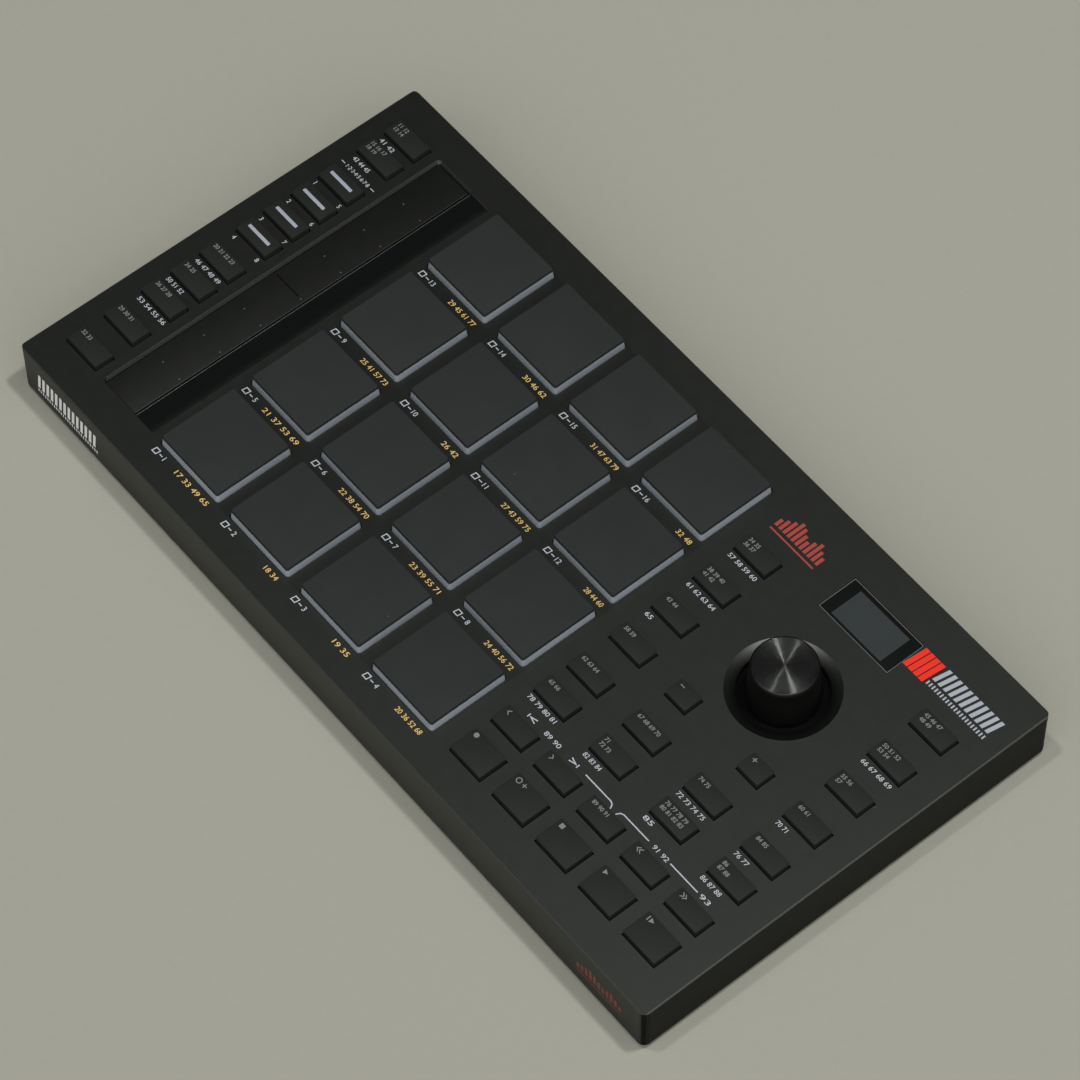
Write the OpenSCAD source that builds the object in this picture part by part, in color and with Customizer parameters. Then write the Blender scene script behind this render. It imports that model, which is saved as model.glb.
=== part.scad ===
// Desktop pad controller for making drum patterns: sixteen square pads, rows of push keys, a touch strip,
// a small display and a push dial in a flat case. Everything is in millimetres. The origin is at the bottom
// centre, on the surface that the feet stand on. +X runs along the width, +Y to the back and +Z up.
// Places on the panel are measured from its left edge and its front edge.

/* [Case] */
// Width of the case
body_w = 328; // [326:1:336]
// Depth of the case, front to back
body_d = 170.6; // [170:0.2:176]
// Height of the side walls
case_h = 21; // [21:0.5:24]
// Height of the rubber feet under the case
foot_h = 2; // [1.5:0.5:4]
// Thickness of the top panel
panel_t = 2.5; // [2.4:0.1:2.8]
// Thickness of the side walls
wall = 2.2; // [1.8:0.1:2.4]
// Radius of the upright corner edges
corner_r = 2.6; // [1:0.2:3]
// Size of the small chamfer round the top edge
edge_chamfer = 0.4; // [0.3:0.1:0.8]
// Thickness of the bottom plate
plate_t = 2.4; // [2:0.1:2.6]

/* [Pads] */
// Width of a pad at its translucent skirt
pad_w = 31.2; // [30:0.2:31.6]
// Width of the dark playing surface
pad_cap_w = 30.1; // [29:0.1:30.1]
// Distance from one pad to the next
pad_pitch = 37.72; // [37:0.02:38]
// Middle of the pad field, from the left edge
pads_x = 134.1; // [133:0.1:135]
// Height of the pads above the panel
pad_h = 4.2; // [3:0.1:5]
// Thickness of the dark cap on a pad
pad_cap_t = 1.3; // [1:0.1:1.6]
// How far a pad goes down
pad_travel = 0.8; // [0.4:0.1:0.9]

/* [Keys] */
// Depth of a key, front to back
key_d = 7.5; // [7:0.1:8]
// Width of a key in the left column
left_key_w = 16; // [15:0.1:16.4]
// Width of a key to the right of the pads
key_w = 15.1; // [14:0.1:15.4]
// Width of the minus and plus keys
step_key_w = 9.7; // [9:0.1:11]
// Depth of the keys in the front row
transport_key_d = 11; // [10:0.1:12]
// Height of the keys above the panel
key_h = 2.2; // [1.6:0.1:2.8]
// How far a key goes down
key_travel = 1.2; // [0.8:0.1:1.3]
// Free gap round a key in its window
key_gap = 0.35; // [0.25:0.05:0.5]

/* [Left key column] */
// Middle of the column, from the left edge
left_x = 16.85; // [16:0.05:17.5]
// Rearmost key of the pair at the back
repeat_y = 153.8; // [153:0.1:154.4]
// Distance between the two keys at the back
repeat_pitch = 12; // [11.6:0.1:12.4]
// Rearmost bank key
bank_y = 124.7; // [124:0.1:125.4]
// Distance from one bank key to the next
bank_pitch = 11.85; // [11.6:0.05:12]
// Rearmost of the three keys below the bank keys
level_y = 73.4; // [73:0.1:74]
// Distance between those three keys
level_pitch = 12.3; // [12:0.1:12.6]
// Key that spreads a sound over the pads
sixteen_y = 33; // [32:0.1:34]
// Front key of the column
erase_y = 17.5; // [17:0.1:18.5]

/* [Right key block] */
// Middle column, which the dial and the display share
block_x = 265.9; // [265:0.1:266.5]
// Distance between the five columns
column_pitch = 21.55; // [21.4:0.05:21.7]
// Distance of the inner key columns from the middle
inner_offset = 15.05; // [15:0.05:16]
// Distance of the minus and plus keys from the middle
step_offset = 17.8; // [17:0.1:19]
// Front row of the five evenly spaced rows
mode_y = 65.75; // [65:0.05:66.5]
// Distance between those rows
row_pitch = 17.73; // [17.5:0.01:18]
// Row just in front of them
screen_y = 51.9; // [51:0.1:52.5]
// Row of the locate keys
locate_y = 34.3; // [34:0.1:35]
// Front row, which starts and stops the sequence
transport_y = 19.15; // [18.5:0.05:19.5]

/* [Touch strip] */
// Left edge of its recess
strip_x = 29.2; // [29:0.1:29.6]
// Width of the strip
strip_w = 16.2; // [15.8:0.1:16.4]
// Length of the strip
strip_len = 143.2; // [142:0.2:143.4]
// Depth of its surface below the panel
strip_depth = 1; // [0.8:0.1:1.1]
// Far edge of the slope beside it
scoop_x = 57.1; // [56:0.1:57.6]

/* [Display] */
// Width of the window
window_w = 33.6; // [32:0.1:34]
// Depth of the window, front to back
window_d = 16.1; // [15:0.1:16.6]
// Middle of the window, from the front edge
window_y = 148.2; // [147.8:0.1:148.6]

/* [Dial] */
// Middle of the dial, from the front edge
dial_y = 110.6; // [110:0.1:111]
// Diameter of the shallow dish in the panel
dish_dia = 38.8; // [37:0.2:40]
// Diameter of the well in the dish
well_dia = 31.2; // [30:0.2:32]
// Depth of the dish where it meets the well
dish_depth = 1.4; // [0.8:0.1:1.6]
// Diameter of the dial at its top
dial_top_dia = 22.3; // [20:0.1:23]
// Diameter of the dial at its base
dial_base_dia = 25.6; // [24:0.2:28]
// Height of the dial above the panel
dial_h = 14.4; // [13:0.2:16]
// How far the dial goes down as a push button
dial_travel = 0.6; // [0.3:0.1:0.6]

/* [Sockets] */
// Middle of the USB socket, from the left edge
usb_x = 219; // [218.6:0.2:219.4]
// Middle of the first 3.5 mm jack, from the left edge
jack_x = 232.5; // [232.2:0.1:232.8]
// Distance between the two jacks
jack_pitch = 9; // [8.4:0.1:9.2]
// Bore of a jack for a 3.5 mm plug
jack_bore = 3.6; // [3.5:0.02:3.7]
// Middle of the lock slot, from the left edge
lock_x = 150; // [140:1:170]

/* [Hidden] */
$fn = 48;
more = 0.5;
join = 0.1;
panel_z = foot_h + case_h;
under_z = panel_z - panel_t;
plate_z = foot_h + plate_t;
plate_gap = 0.3;
middle_y = body_d / 2;

board_t = 1.6;
board_z = under_z - 8.6;
board_top = board_z + board_t;
board_margin = 3.5;
board_front = 11;
board_back = body_d - 10.6;
notch_x = 209;
notch_end = 249;
notch_y = 150;

mat_t = 1;
mat_z = board_top + mat_t;
dome_top = mat_z + 1.2;
dome_r = 4;
stem_bottom = dome_top + 1.3;
flange_z = under_z - 1.5;
flange_t = 1.2;
flange_lip = 1;
stem_w = 6;
stem_d = 4;
key_top = panel_z + key_h;
key_chamfer = 0.25;

pads_y = middle_y;
pad_gap = 0.3;
pad_lip = 1.2;
pad_corner = 1.2;
cap_corner = 0.7;
pad_edge = 0.4;
skirt_edge = 0.3;
pad_bottom = board_top + 1.5;
pad_top = panel_z + pad_h;
sensor_t = 0.6;

strip_t = 1.2;
strip_top = panel_z - strip_depth;
strip_floor = strip_top - strip_t;
strip_slope = 0.9;
strip_gap = 0.3;
strip_corner = 0.8;
pocket_x = strip_x + strip_slope;
pocket_end = pocket_x + strip_w + 1.2;
pocket_len = strip_len + 0.6;
scoop_depth = strip_depth - 0.1;
strip_edge = 0.3;
tray_margin = 1.6;
tray_front = 11;
tray_t = 1.7;

window_x = block_x;
glass_w = 24;
glass_d = 13.6;
glass_gap = 0.5;
window_edge = 0.35;
window_t = 1.3;
window_z = panel_z - 1.6;
ledge_gap = 0.2;

well_floor = panel_z - 3.6;
cup_t = 0.9;
cup_wall = 1.5;
encoder_w = 12.5;
encoder_d = 13.2;
encoder_top = well_floor - cup_t - 0.2;
bushing_r = 4.4;
bushing_gap = 0.4;
bushing_top = panel_z + 1.6;
shaft_r = 3;
shaft_slack = 0.05;
shaft_top = panel_z + 10;
hub_z = bushing_top + 1;
flat_z = hub_z + 0.6;
flat_y = 1.5;
plunger_z = board_top + 1.7;
plunger_t = 1;
plunger_slack = 0.1;
chamber_z = plunger_z - 1.2;
chamber_r = 3.8;
chamber_gap = 0.3;
dial_bottom = panel_z - 2.4;
dial_top = panel_z + dial_h;
dial_cap_t = 1;
dial_cap_r = dial_top_dia / 2 - 0.35;
dial_cap_z = dial_top - dial_cap_t;
dial_rim_z = dial_top - 0.6;
dial_skirt_h = 0.8;
dial_edge = 0.3;
dial_hollow_r = 8;
dial_fit = 0.05;
dial_steps = 10;

screw_len = 5;
screw_r = 1.25;
screw_head_r = 2.6;
screw_head_h = 1.4;
slot_len = 2.8;
slot_w = 0.6;
slot_deep = 0.7;
screw_gap = 0.2;
head_gap = 0.3;
pilot_slack = 0.05;
pilot_len = screw_len + 0.7;
case_boss_r = 3.2;
board_boss_r = 2.5;
case_screw_inset = 6.6;
bottom_skin = 0.1;
case_screws_front = [7.5, 110, 218, body_w - 7.5];
case_screws_back = [7.5, 110, 190, body_w - 7.5];
board_screws_x = [44, 210.9, body_w - 6.7];
board_screws_y = [25, 85, 140];

io_z = plate_z + 2.6;
io_top = io_z + board_t;
io_x = 209.5;
io_w = 39;
io_front = 142;
io_back = body_d - wall - 0.4;
io_screws_x = [213, 245];
io_screw_y = 145.5;
post_r = 2.6;
rib_w = 1.5;
rib_h = 2;
rib_pitch = 55;
rib_inset = 20;
ledge_d = 2;

usb_w = 12;
usb_h = 10.9;
usb_len = 16;
usb_mouth_w = 8.5;
usb_mouth_h = 7.8;
usb_tongue_w = 5.6;
usb_tongue_h = 3.2;
usb_cavity = 9;
usb_tongue_in = 3.6;
usb_corner = 1.6;
usb_face = body_d - 0.3;
usb_z = io_top + usb_h / 2;
jack_w = 8;
jack_h = 6;
jack_len = 12;
jack_face = body_d - wall - 0.2;
jack_z = io_top + jack_h / 2;
jack_hole_r = 3.5;
jack_bore_len = 10;
lock_w = 7;
lock_h = 3.2;
lock_z = 12;

foot_r = 7;
foot_inset_x = 22;
foot_inset_y = 18;
foot_sink = 0.6;
foot_edge = 0.4;
foot_gap = 0.2;

// Key places. A set of keys with more than one place is one moulding, joined below the panel.
select_x = block_x - 2 * column_pitch;
sample_x = block_x + 2 * column_pitch;
function row_y(n) = mode_y + n * row_pitch;
function column_x(n) = block_x + (n - 2) * column_pitch;

// Each key set: name, places, key width, key depth
KEYS = [
    ["note_repeat_key", [[left_x, repeat_y]], left_key_w, key_d],
    ["strip_mode_key", [[left_x, repeat_y - repeat_pitch]], left_key_w, key_d],
    ["bank_keys", [for (n = [0:3]) [left_x, bank_y - n * bank_pitch]], left_key_w, key_d],
    ["full_level_key", [[left_x, level_y]], left_key_w, key_d],
    ["copy_key", [[left_x, level_y - level_pitch]], left_key_w, key_d],
    ["pad_mute_key", [[left_x, level_y - 2 * level_pitch]], left_key_w, key_d],
    ["sixteen_level_key", [[left_x, sixteen_y]], left_key_w, key_d],
    ["erase_key", [[left_x, erase_y]], left_key_w, key_d],
    ["select_keys", [for (n = [4:-1:2]) [select_x, row_y(n)]], key_w, key_d],
    ["sample_keys", [for (n = [4:-1:2]) [sample_x, row_y(n)]], key_w, key_d],
    ["shift_key", [[select_x, row_y(1)]], key_w, key_d],
    ["step_keys", [for (s = [-1, 1]) [block_x + s * step_offset, row_y(1)]], step_key_w, key_d],
    ["tune_key", [[sample_x, row_y(1)]], key_w, key_d],
    ["screen_keys", [[select_x, mode_y], [select_x, screen_y]], key_w, key_d],
    ["timing_keys", [for (y = [mode_y, screen_y]) [block_x - inner_offset, y]], key_w, key_d],
    ["view_keys", [for (y = [mode_y, screen_y]) [block_x + inner_offset, y]], key_w, key_d],
    ["undo_key", [[sample_x, mode_y]], key_w, key_d],
    ["tap_key", [[sample_x, screen_y]], key_w, key_d],
    ["event_keys", [for (n = [0, 1]) [column_x(n), locate_y]], key_w, key_d],
    ["locate_key", [[column_x(2), locate_y]], key_w, key_d],
    ["seek_keys", [for (n = [3, 4]) [column_x(n), locate_y]], key_w, key_d],
    ["record_key", [[column_x(0), transport_y]], key_w, transport_key_d],
    ["overdub_key", [[column_x(1), transport_y]], key_w, transport_key_d],
    ["stop_key", [[column_x(2), transport_y]], key_w, transport_key_d],
    ["play_key", [[column_x(3), transport_y]], key_w, transport_key_d],
    ["play_start_key", [[column_x(4), transport_y]], key_w, transport_key_d]
];

PAD_COUNT = 16;
FIXED = [
    "top_case", "bottom_case", "rubber_feet", "screws", "key_board", "io_board", "key_mats",
    "pad_sensor_sheet", "display_module", "display_window", "touch_strip", "encoder_body",
    "usb_socket", "midi_jacks"
];
DIAL = ["encoder_plunger", "encoder_shaft", "jog_dial", "dial_cap"];

// ---- Shared shapes ----

// Moves its children from panel places to the frame
module on_panel(x, y, z = 0) {
    translate([x - body_w / 2, y - body_d / 2, z]) children();
}

// Box with its middle at x = 0, y = 0, from z0 to z1
module block(w, d, z0, z1) {
    translate([-w / 2, -d / 2, z0]) cube([w, d, z1 - z0]);
}

// Box given by two opposite corners in panel places
module panel_box(x0, x1, y0, y1, z0, z1) {
    on_panel(x0, y0, z0) cube([x1 - x0, y1 - y0, z1 - z0]);
}

// Side view of a box with a small chamfer along its top edges
module chamfered_side(w, z0, z1, c) {
    polygon([
        [-w / 2, z0], [w / 2, z0], [w / 2, z1 - c],
        [w / 2 - c, z1], [-w / 2 + c, z1], [-w / 2, z1 - c]
    ]);
}

// Box with a small chamfer round its top
module chamfered_block(w, d, z0, z1, c) {
    intersection() {
        translate([0, d / 2, 0]) rotate([90, 0, 0]) linear_extrude(d) chamfered_side(w, z0, z1, c);
        translate([-w / 2, 0, 0]) rotate([90, 0, 90]) linear_extrude(w) chamfered_side(d, z0, z1, c);
    }
}

// Block with round upright corners and a small chamfer round its top
module rounded_block(w, d, r, z0, z1, c) {
    intersection() {
        translate([0, 0, z0]) linear_extrude(z1 - z0) rounded_rect(w, d, r);
        chamfered_block(w, d, z0, z1, c);
    }
}

module rounded_rect(w, d, r) {
    square([w - 2 * r, d], center = true);
    square([w, d - 2 * r], center = true);
    for (x = [-1, 1], y = [-1, 1]) translate([x * (w / 2 - r), y * (d / 2 - r)]) circle(r);
}

module at_case_screws() {
    for (x = case_screws_front) on_panel(x, case_screw_inset) children();
    for (x = case_screws_back) on_panel(x, body_d - case_screw_inset) children();
}

module at_board_screws() {
    for (x = board_screws_x, y = board_screws_y) on_panel(x, y) children();
}

module at_io_screws() {
    for (x = io_screws_x) on_panel(x, io_screw_y) children();
}

module at_pads() {
    for (n = [1:PAD_COUNT]) at_pad(n) children();
}

// Pads are numbered from the front left, row by row
module at_pad(n) {
    column = (n - 1) % 4;
    row = floor((n - 1) / 4);
    on_panel(pads_x + (column - 1.5) * pad_pitch, pads_y + (row - 1.5) * pad_pitch) children();
}

// ---- Case ----

module case_block() {
    intersection() {
        translate([0, 0, foot_h]) linear_extrude(case_h) rounded_rect(body_w, body_d, corner_r);
        chamfered_block(body_w, body_d, foot_h, panel_z, edge_chamfer);
    }
}

module case_hollow() {
    block(body_w - 2 * wall, body_d - 2 * wall, foot_h - more, under_z);
}

// Outline of the touch strip's pocket, or that of its slope where grow is more than 0
module strip_outline(grow) {
    r = strip_corner + grow;
    x0 = pocket_x - grow;
    y0 = middle_y - pocket_len / 2;
    y1 = middle_y + pocket_len / 2 + grow;
    hull() {
        for (y = [y0 + r, y1 - r]) translate([x0 + r, y]) circle(r);
        translate([pocket_end - 1, y0]) square([1, y1 - y0]);
    }
}

// Recess of the touch strip: a slope on the left and at the back, round at its corners, then a flat pocket
module strip_recess() {
    on_panel(0, 0, strip_floor) linear_extrude(strip_t) strip_outline(0);
    hull() {
        on_panel(0, 0, strip_top - more) linear_extrude(more) strip_outline(0);
        on_panel(0, 0, panel_z) linear_extrude(more) strip_outline(strip_slope);
    }
}

// Slope that rises from the strip to the panel
module scoop() {
    on_panel(0, middle_y + pocket_len / 2, 0) rotate([90, 0, 0]) linear_extrude(pocket_len)
        polygon([
            [pocket_end, panel_z - scoop_depth], [scoop_x, panel_z], [scoop_x, panel_z + more],
            [pocket_end - more, panel_z + more], [pocket_end - more, panel_z - scoop_depth]
        ]);
}

// Well of the dial, in a dish with a sloping side
module dial_recess() {
    on_panel(block_x, dial_y, panel_z - dish_depth)
        cylinder(h = dish_depth, d1 = well_dia, d2 = dish_dia);
    on_panel(block_x, dial_y, panel_z) cylinder(h = more, d = dish_dia);
    on_panel(block_x, dial_y, well_floor) cylinder(h = panel_z - well_floor, d = well_dia);
    on_panel(block_x, dial_y, well_floor - 2 * more)
        cylinder(h = 2 * more + join, r = bushing_r + bushing_gap);
}

module dial_cup() {
    on_panel(block_x, dial_y, well_floor - cup_t)
        cylinder(h = under_z - well_floor + cup_t + more, d = well_dia + 2 * cup_wall);
}

module window_recess() {
    on_panel(window_x, window_y)
        block(window_w + 2 * ledge_gap, window_d + 2 * ledge_gap, window_z, panel_z + more);
    on_panel(window_x, window_y)
        block(glass_w + 2 * glass_gap, glass_d + 2 * glass_gap, under_z - more, window_z + more);
}

module key_windows() {
    for (k = KEYS, place = k[1])
        on_panel(place[0], place[1])
            block(k[2] + 2 * key_gap, k[3] + 2 * key_gap, under_z - more, panel_z + more);
}

module pad_windows() {
    w = pad_w + 2 * pad_gap;
    at_pads() translate([0, 0, under_z - more])
        linear_extrude(panel_t + 2 * more) rounded_rect(w, w, pad_corner + pad_gap);
}

module socket_holes() {
    y0 = body_d - wall - more;
    y1 = body_d + more;
    usb_slack = 0.2;
    panel_box(
        usb_x - usb_w / 2 - usb_slack, usb_x + usb_w / 2 + usb_slack,
        y0, y1, io_top - usb_slack, io_top + usb_h + usb_slack
    );
    for (n = [0, 1])
        on_panel(jack_x + n * jack_pitch, y0, jack_z) rotate([-90, 0, 0])
            cylinder(h = y1 - y0, r = jack_hole_r);
    panel_box(lock_x - lock_w / 2, lock_x + lock_w / 2, y0, y1, lock_z - lock_h / 2, lock_z + lock_h / 2);
}

module top_case() {
    color("#2e2f31") difference() {
        union() {
            difference() {
                case_block();
                case_hollow();
            }
            panel_box(
                strip_x - tray_margin, scoop_x + tray_margin, tray_front, body_d - tray_front,
                under_z - tray_t, under_z + more
            );
            dial_cup();
            at_case_screws() translate([0, 0, plate_z])
                cylinder(h = under_z - plate_z + more, r = case_boss_r);
            at_board_screws() translate([0, 0, board_top])
                cylinder(h = under_z - board_top + more, r = board_boss_r);
        }
        pad_windows();
        key_windows();
        strip_recess();
        scoop();
        dial_recess();
        window_recess();
        socket_holes();
        at_case_screws() translate([0, 0, plate_z - more])
            cylinder(h = pilot_len + more, r = screw_r + pilot_slack);
        at_board_screws() translate([0, 0, board_top - more])
            cylinder(h = pilot_len - board_t + more, r = screw_r + pilot_slack);
    }
}

module bottom_ribs() {
    z0 = plate_z - join;
    z1 = plate_z + rib_h;
    for (x = [-2:2]) translate([x * rib_pitch, 0, 0]) block(rib_w, body_d - 2 * rib_inset, z0, z1);
    for (y = [-0.5, 0.5]) translate([0, y * rib_pitch, 0]) block(body_w - 2 * rib_inset, rib_w, z0, z1);
}

module bottom_case() {
    post_z = plate_z - join;
    color("#232426") difference() {
        union() {
            translate([0, 0, foot_h]) linear_extrude(plate_t)
                square([body_w - 2 * (wall + plate_gap), body_d - 2 * (wall + plate_gap)], center = true);
            bottom_ribs();
            at_io_screws() translate([0, 0, post_z]) cylinder(h = io_z - post_z, r = post_r);
            panel_box(io_x, io_x + io_w, io_back - 2 * ledge_d, io_back - ledge_d, post_z, io_z);
        }
        at_case_screws() translate([0, 0, foot_h - more])
            cylinder(h = bottom_skin + screw_head_h + more, r = screw_head_r + head_gap);
        at_case_screws() translate([0, 0, foot_h]) cylinder(h = plate_t + more, r = screw_r + screw_gap);
        at_io_screws() translate([0, 0, io_top - pilot_len])
            cylinder(h = pilot_len, r = screw_r + pilot_slack);
        at_feet() translate([0, 0, foot_h - more]) cylinder(h = foot_sink + more, r = foot_r + foot_gap);
    }
}

module at_feet() {
    for (x = [foot_inset_x, body_w - foot_inset_x], y = [foot_inset_y, body_d - foot_inset_y])
        on_panel(x, y) children();
}

module rubber_feet() {
    color("#1c1c1d") at_feet() {
        translate([0, 0, foot_edge]) cylinder(h = foot_h + foot_sink - foot_edge, r = foot_r);
        cylinder(h = foot_edge, r1 = foot_r - foot_edge, r2 = foot_r);
    }
}

// Pan head screw with its head's top face at z = 0 and its shank pointing up
module screw() {
    difference() {
        union() {
            cylinder(h = screw_head_h, r = screw_head_r);
            cylinder(h = screw_head_h + screw_len, r = screw_r);
        }
        for (turn = [0, 90]) rotate([0, 0, turn]) block(slot_len, slot_w, -more, slot_deep);
    }
}

module screws() {
    color("#4a4a4c") {
        at_case_screws() translate([0, 0, foot_h + bottom_skin]) screw();
        at_board_screws() translate([0, 0, board_z - screw_head_h]) screw();
        at_io_screws() translate([0, 0, io_top + screw_head_h]) mirror([0, 0, 1]) screw();
    }
}

// ---- Boards and what sits on them ----

module board_hole() {
    cylinder(h = board_t + 2 * more, r = screw_r + screw_gap);
}

module key_board() {
    color("#1f4a33") difference() {
        panel_box(board_margin, body_w - board_margin, board_front, board_back, board_z, board_top);
        panel_box(notch_x, notch_end, notch_y, body_d, board_z - more, board_top + more);
        at_board_screws() translate([0, 0, board_z - more]) board_hole();
    }
}

// Small board for the sockets, with the header that plugs into the key board from below
module io_board() {
    header_x = 229;
    header_w = 20;
    header_d = 5;
    color("#1f4a33") difference() {
        union() {
            panel_box(io_x, io_x + io_w, io_front, io_back, io_z, io_top);
            on_panel(header_x, notch_y - header_d, 0)
                block(header_w, header_d, io_top - join, board_z);
        }
        at_io_screws() translate([0, 0, io_z - more]) board_hole();
    }
}

// Silicone mats with a dome under every key, one to each side of the pads
module key_mats() {
    left_mat = [6.5, 27.2];
    right_mat = [213.5, body_w - 9.5];
    mat_front = 12;
    left_back = 159;
    right_back = 142;
    opening = [block_x - 30, block_x + 30];
    opening_y = 92;
    color("#6f7072") {
        difference() {
            union() {
                panel_box(left_mat[0], left_mat[1], mat_front, left_back, board_top, mat_z);
                panel_box(right_mat[0], right_mat[1], mat_front, right_back, board_top, mat_z);
            }
            panel_box(opening[0], opening[1], opening_y, body_d, board_top - more, mat_z + more);
        }
        for (k = KEYS, place = k[1])
            on_panel(place[0], place[1], mat_z - join) cylinder(h = dome_top - mat_z + join, r = dome_r);
    }
}

module pad_sensor_sheet() {
    sheet_w = 3 * pad_pitch + pad_w;
    color("#8a6a35") on_panel(pads_x, pads_y) block(sheet_w, sheet_w, board_top, board_top + sensor_t);
}

// Display glass on a taller carrier that stands on the key board
module display_module() {
    carrier_w = 34;
    carrier_d = 19.5;
    carrier_z = under_z - 1.9;
    panel_w = 30;
    panel_d = 15.4;
    color("#15181b") on_panel(window_x, window_y) {
        block(carrier_w, carrier_d, board_top, carrier_z);
        block(panel_w, panel_d, carrier_z - join, under_z - ledge_gap);
    }
}

module display_window() {
    color("#0d0f11") on_panel(window_x, window_y)
        chamfered_block(window_w, window_d, window_z, window_z + window_t, window_edge);
}

module touch_strip() {
    color("#3a3d40") on_panel(pocket_x + strip_gap + strip_w / 2, middle_y)
        rounded_block(
            strip_w, strip_len, strip_corner - strip_gap, strip_floor, strip_top, strip_edge
        );
}

module usb_socket() {
    body_y = usb_face - usb_len;
    mouth_y = usb_face - usb_cavity;
    half_w = usb_mouth_w / 2;
    half_h = usb_mouth_h / 2;
    color("#b9bcc0") union() {
        difference() {
            panel_box(usb_x - usb_w / 2, usb_x + usb_w / 2, body_y, usb_face, io_top, io_top + usb_h);
            on_panel(usb_x, usb_face + more, usb_z) rotate([90, 0, 0]) linear_extrude(usb_cavity + more)
                polygon([
                    [-half_w, -half_h], [half_w, -half_h],
                    [half_w, half_h - usb_corner], [half_w - usb_corner, half_h],
                    [usb_corner - half_w, half_h], [-half_w, half_h - usb_corner]
                ]);
        }
        on_panel(usb_x, 0, usb_z) translate([-usb_tongue_w / 2, mouth_y - join, -usb_tongue_h / 2])
            cube([usb_tongue_w, usb_cavity - usb_tongue_in + join, usb_tongue_h]);
    }
}

module midi_jacks() {
    color("#17181a") for (n = [0, 1]) on_panel(jack_x + n * jack_pitch, 0) difference() {
        translate([-jack_w / 2, jack_face - jack_len, io_top]) cube([jack_w, jack_len, jack_h]);
        translate([0, jack_face + more, jack_z]) rotate([90, 0, 0])
            cylinder(h = jack_bore_len + more, d = jack_bore);
    }
}

// ---- Dial ----

module encoder_body() {
    color("#9a9ca0") on_panel(block_x, dial_y) difference() {
        union() {
            block(encoder_w, encoder_d, board_top, encoder_top);
            translate([0, 0, encoder_top - join])
                cylinder(h = bushing_top - encoder_top + join, r = bushing_r);
        }
        translate([0, 0, chamber_z])
            cylinder(h = plunger_z + plunger_t + chamber_gap - chamber_z, r = chamber_r);
        translate([0, 0, plunger_z]) cylinder(h = bushing_top, r = shaft_r + shaft_slack);
    }
}

// Pushed down by the shaft, it works the switch under the encoder
module encoder_plunger() {
    color("#d8d4c4") on_panel(block_x, dial_y, plunger_z)
        cylinder(h = plunger_t, r = chamber_r - plunger_slack);
}

// What is cut away beside the flat of the shaft
module beside_flat(y) {
    translate([-dial_hollow_r, y, flat_z]) cube([2 * dial_hollow_r, dial_hollow_r, dial_h]);
}

module encoder_shaft() {
    shaft_bottom = plunger_z + plunger_t + dial_fit;
    color("#b4b6ba") on_panel(block_x, dial_y) difference() {
        translate([0, 0, shaft_bottom]) cylinder(h = shaft_top - shaft_bottom, r = shaft_r);
        beside_flat(flat_y);
    }
}

// Radius of the dial's side, flaring out towards its base
function dial_r(t) = (dial_top_dia + (dial_base_dia - dial_top_dia) * pow(1 - t, 2)) / 2;

module jog_dial() {
    base_r = dial_base_dia / 2;
    side_z = dial_bottom + dial_skirt_h;
    side_h = dial_rim_z - dial_edge - side_z;
    color("#222325") on_panel(block_x, dial_y) difference() {
        rotate_extrude() polygon(concat(
            [[0, dial_bottom], [base_r - dial_edge, dial_bottom], [base_r, dial_bottom + dial_edge]],
            [for (n = [0:dial_steps]) [dial_r(n / dial_steps), side_z + side_h * n / dial_steps]],
            [[dial_top_dia / 2 - dial_edge, dial_rim_z], [0, dial_rim_z]]
        ));
        translate([0, 0, dial_bottom - more]) cylinder(h = hub_z - dial_bottom + more, r = dial_hollow_r);
        translate([0, 0, dial_cap_z]) cylinder(h = dial_cap_t, r = dial_cap_r + dial_fit);
        difference() {
            translate([0, 0, hub_z - more])
                cylinder(h = shaft_top - hub_z + 2 * more, r = shaft_r + dial_fit);
            beside_flat(flat_y + dial_fit);
        }
    }
}

module dial_cap() {
    color("#c4c6c9") on_panel(block_x, dial_y) {
        translate([0, 0, dial_cap_z]) cylinder(h = dial_cap_t - dial_edge, r = dial_cap_r);
        translate([0, 0, dial_top - dial_edge])
            cylinder(h = dial_edge, r1 = dial_cap_r, r2 = dial_cap_r - dial_edge);
    }
}

// ---- Pads and keys ----

module pad(n) {
    cap_z = pad_top - pad_cap_t;
    color("#9fa6ad") at_pad(n) {
        rounded_block(pad_w, pad_w, pad_corner, pad_bottom, cap_z, skirt_edge);
        block(pad_w + 2 * pad_lip, pad_w + 2 * pad_lip, flange_z, flange_z + flange_t);
        rounded_block(pad_cap_w, pad_cap_w, cap_corner, cap_z - join, pad_top, pad_edge);
    }
}

// Keys of one set, with one flange under the panel that holds them together
module key_set(places, w, d) {
    xs = [for (p = places) p[0]];
    ys = [for (p = places) p[1]];
    lip = w / 2 + flange_lip;
    lip_d = d / 2 + flange_lip;
    color("#37393b") {
        for (p = places) on_panel(p[0], p[1]) {
            chamfered_block(w, d, flange_z + join, key_top, key_chamfer);
            block(stem_w, stem_d, stem_bottom, flange_z + join);
        }
        panel_box(
            min(xs) - lip, max(xs) + lip, min(ys) - lip_d, max(ys) + lip_d,
            flange_z, flange_z + flange_t
        );
    }
}

top_case();
bottom_case();
rubber_feet();
screws();
key_board();
io_board();
key_mats();
pad_sensor_sheet();
display_module();
display_window();
touch_strip();
encoder_body();
usb_socket();
midi_jacks();
encoder_plunger();
encoder_shaft();
jog_dial();
dial_cap();
for (n = [1:PAD_COUNT])
    pad(n);
for (k = KEYS)
    key_set(k[1], k[2], k[3]);
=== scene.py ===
import itertools
import math

import bmesh
import bpy
from mathutils import Matrix, Vector


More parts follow.
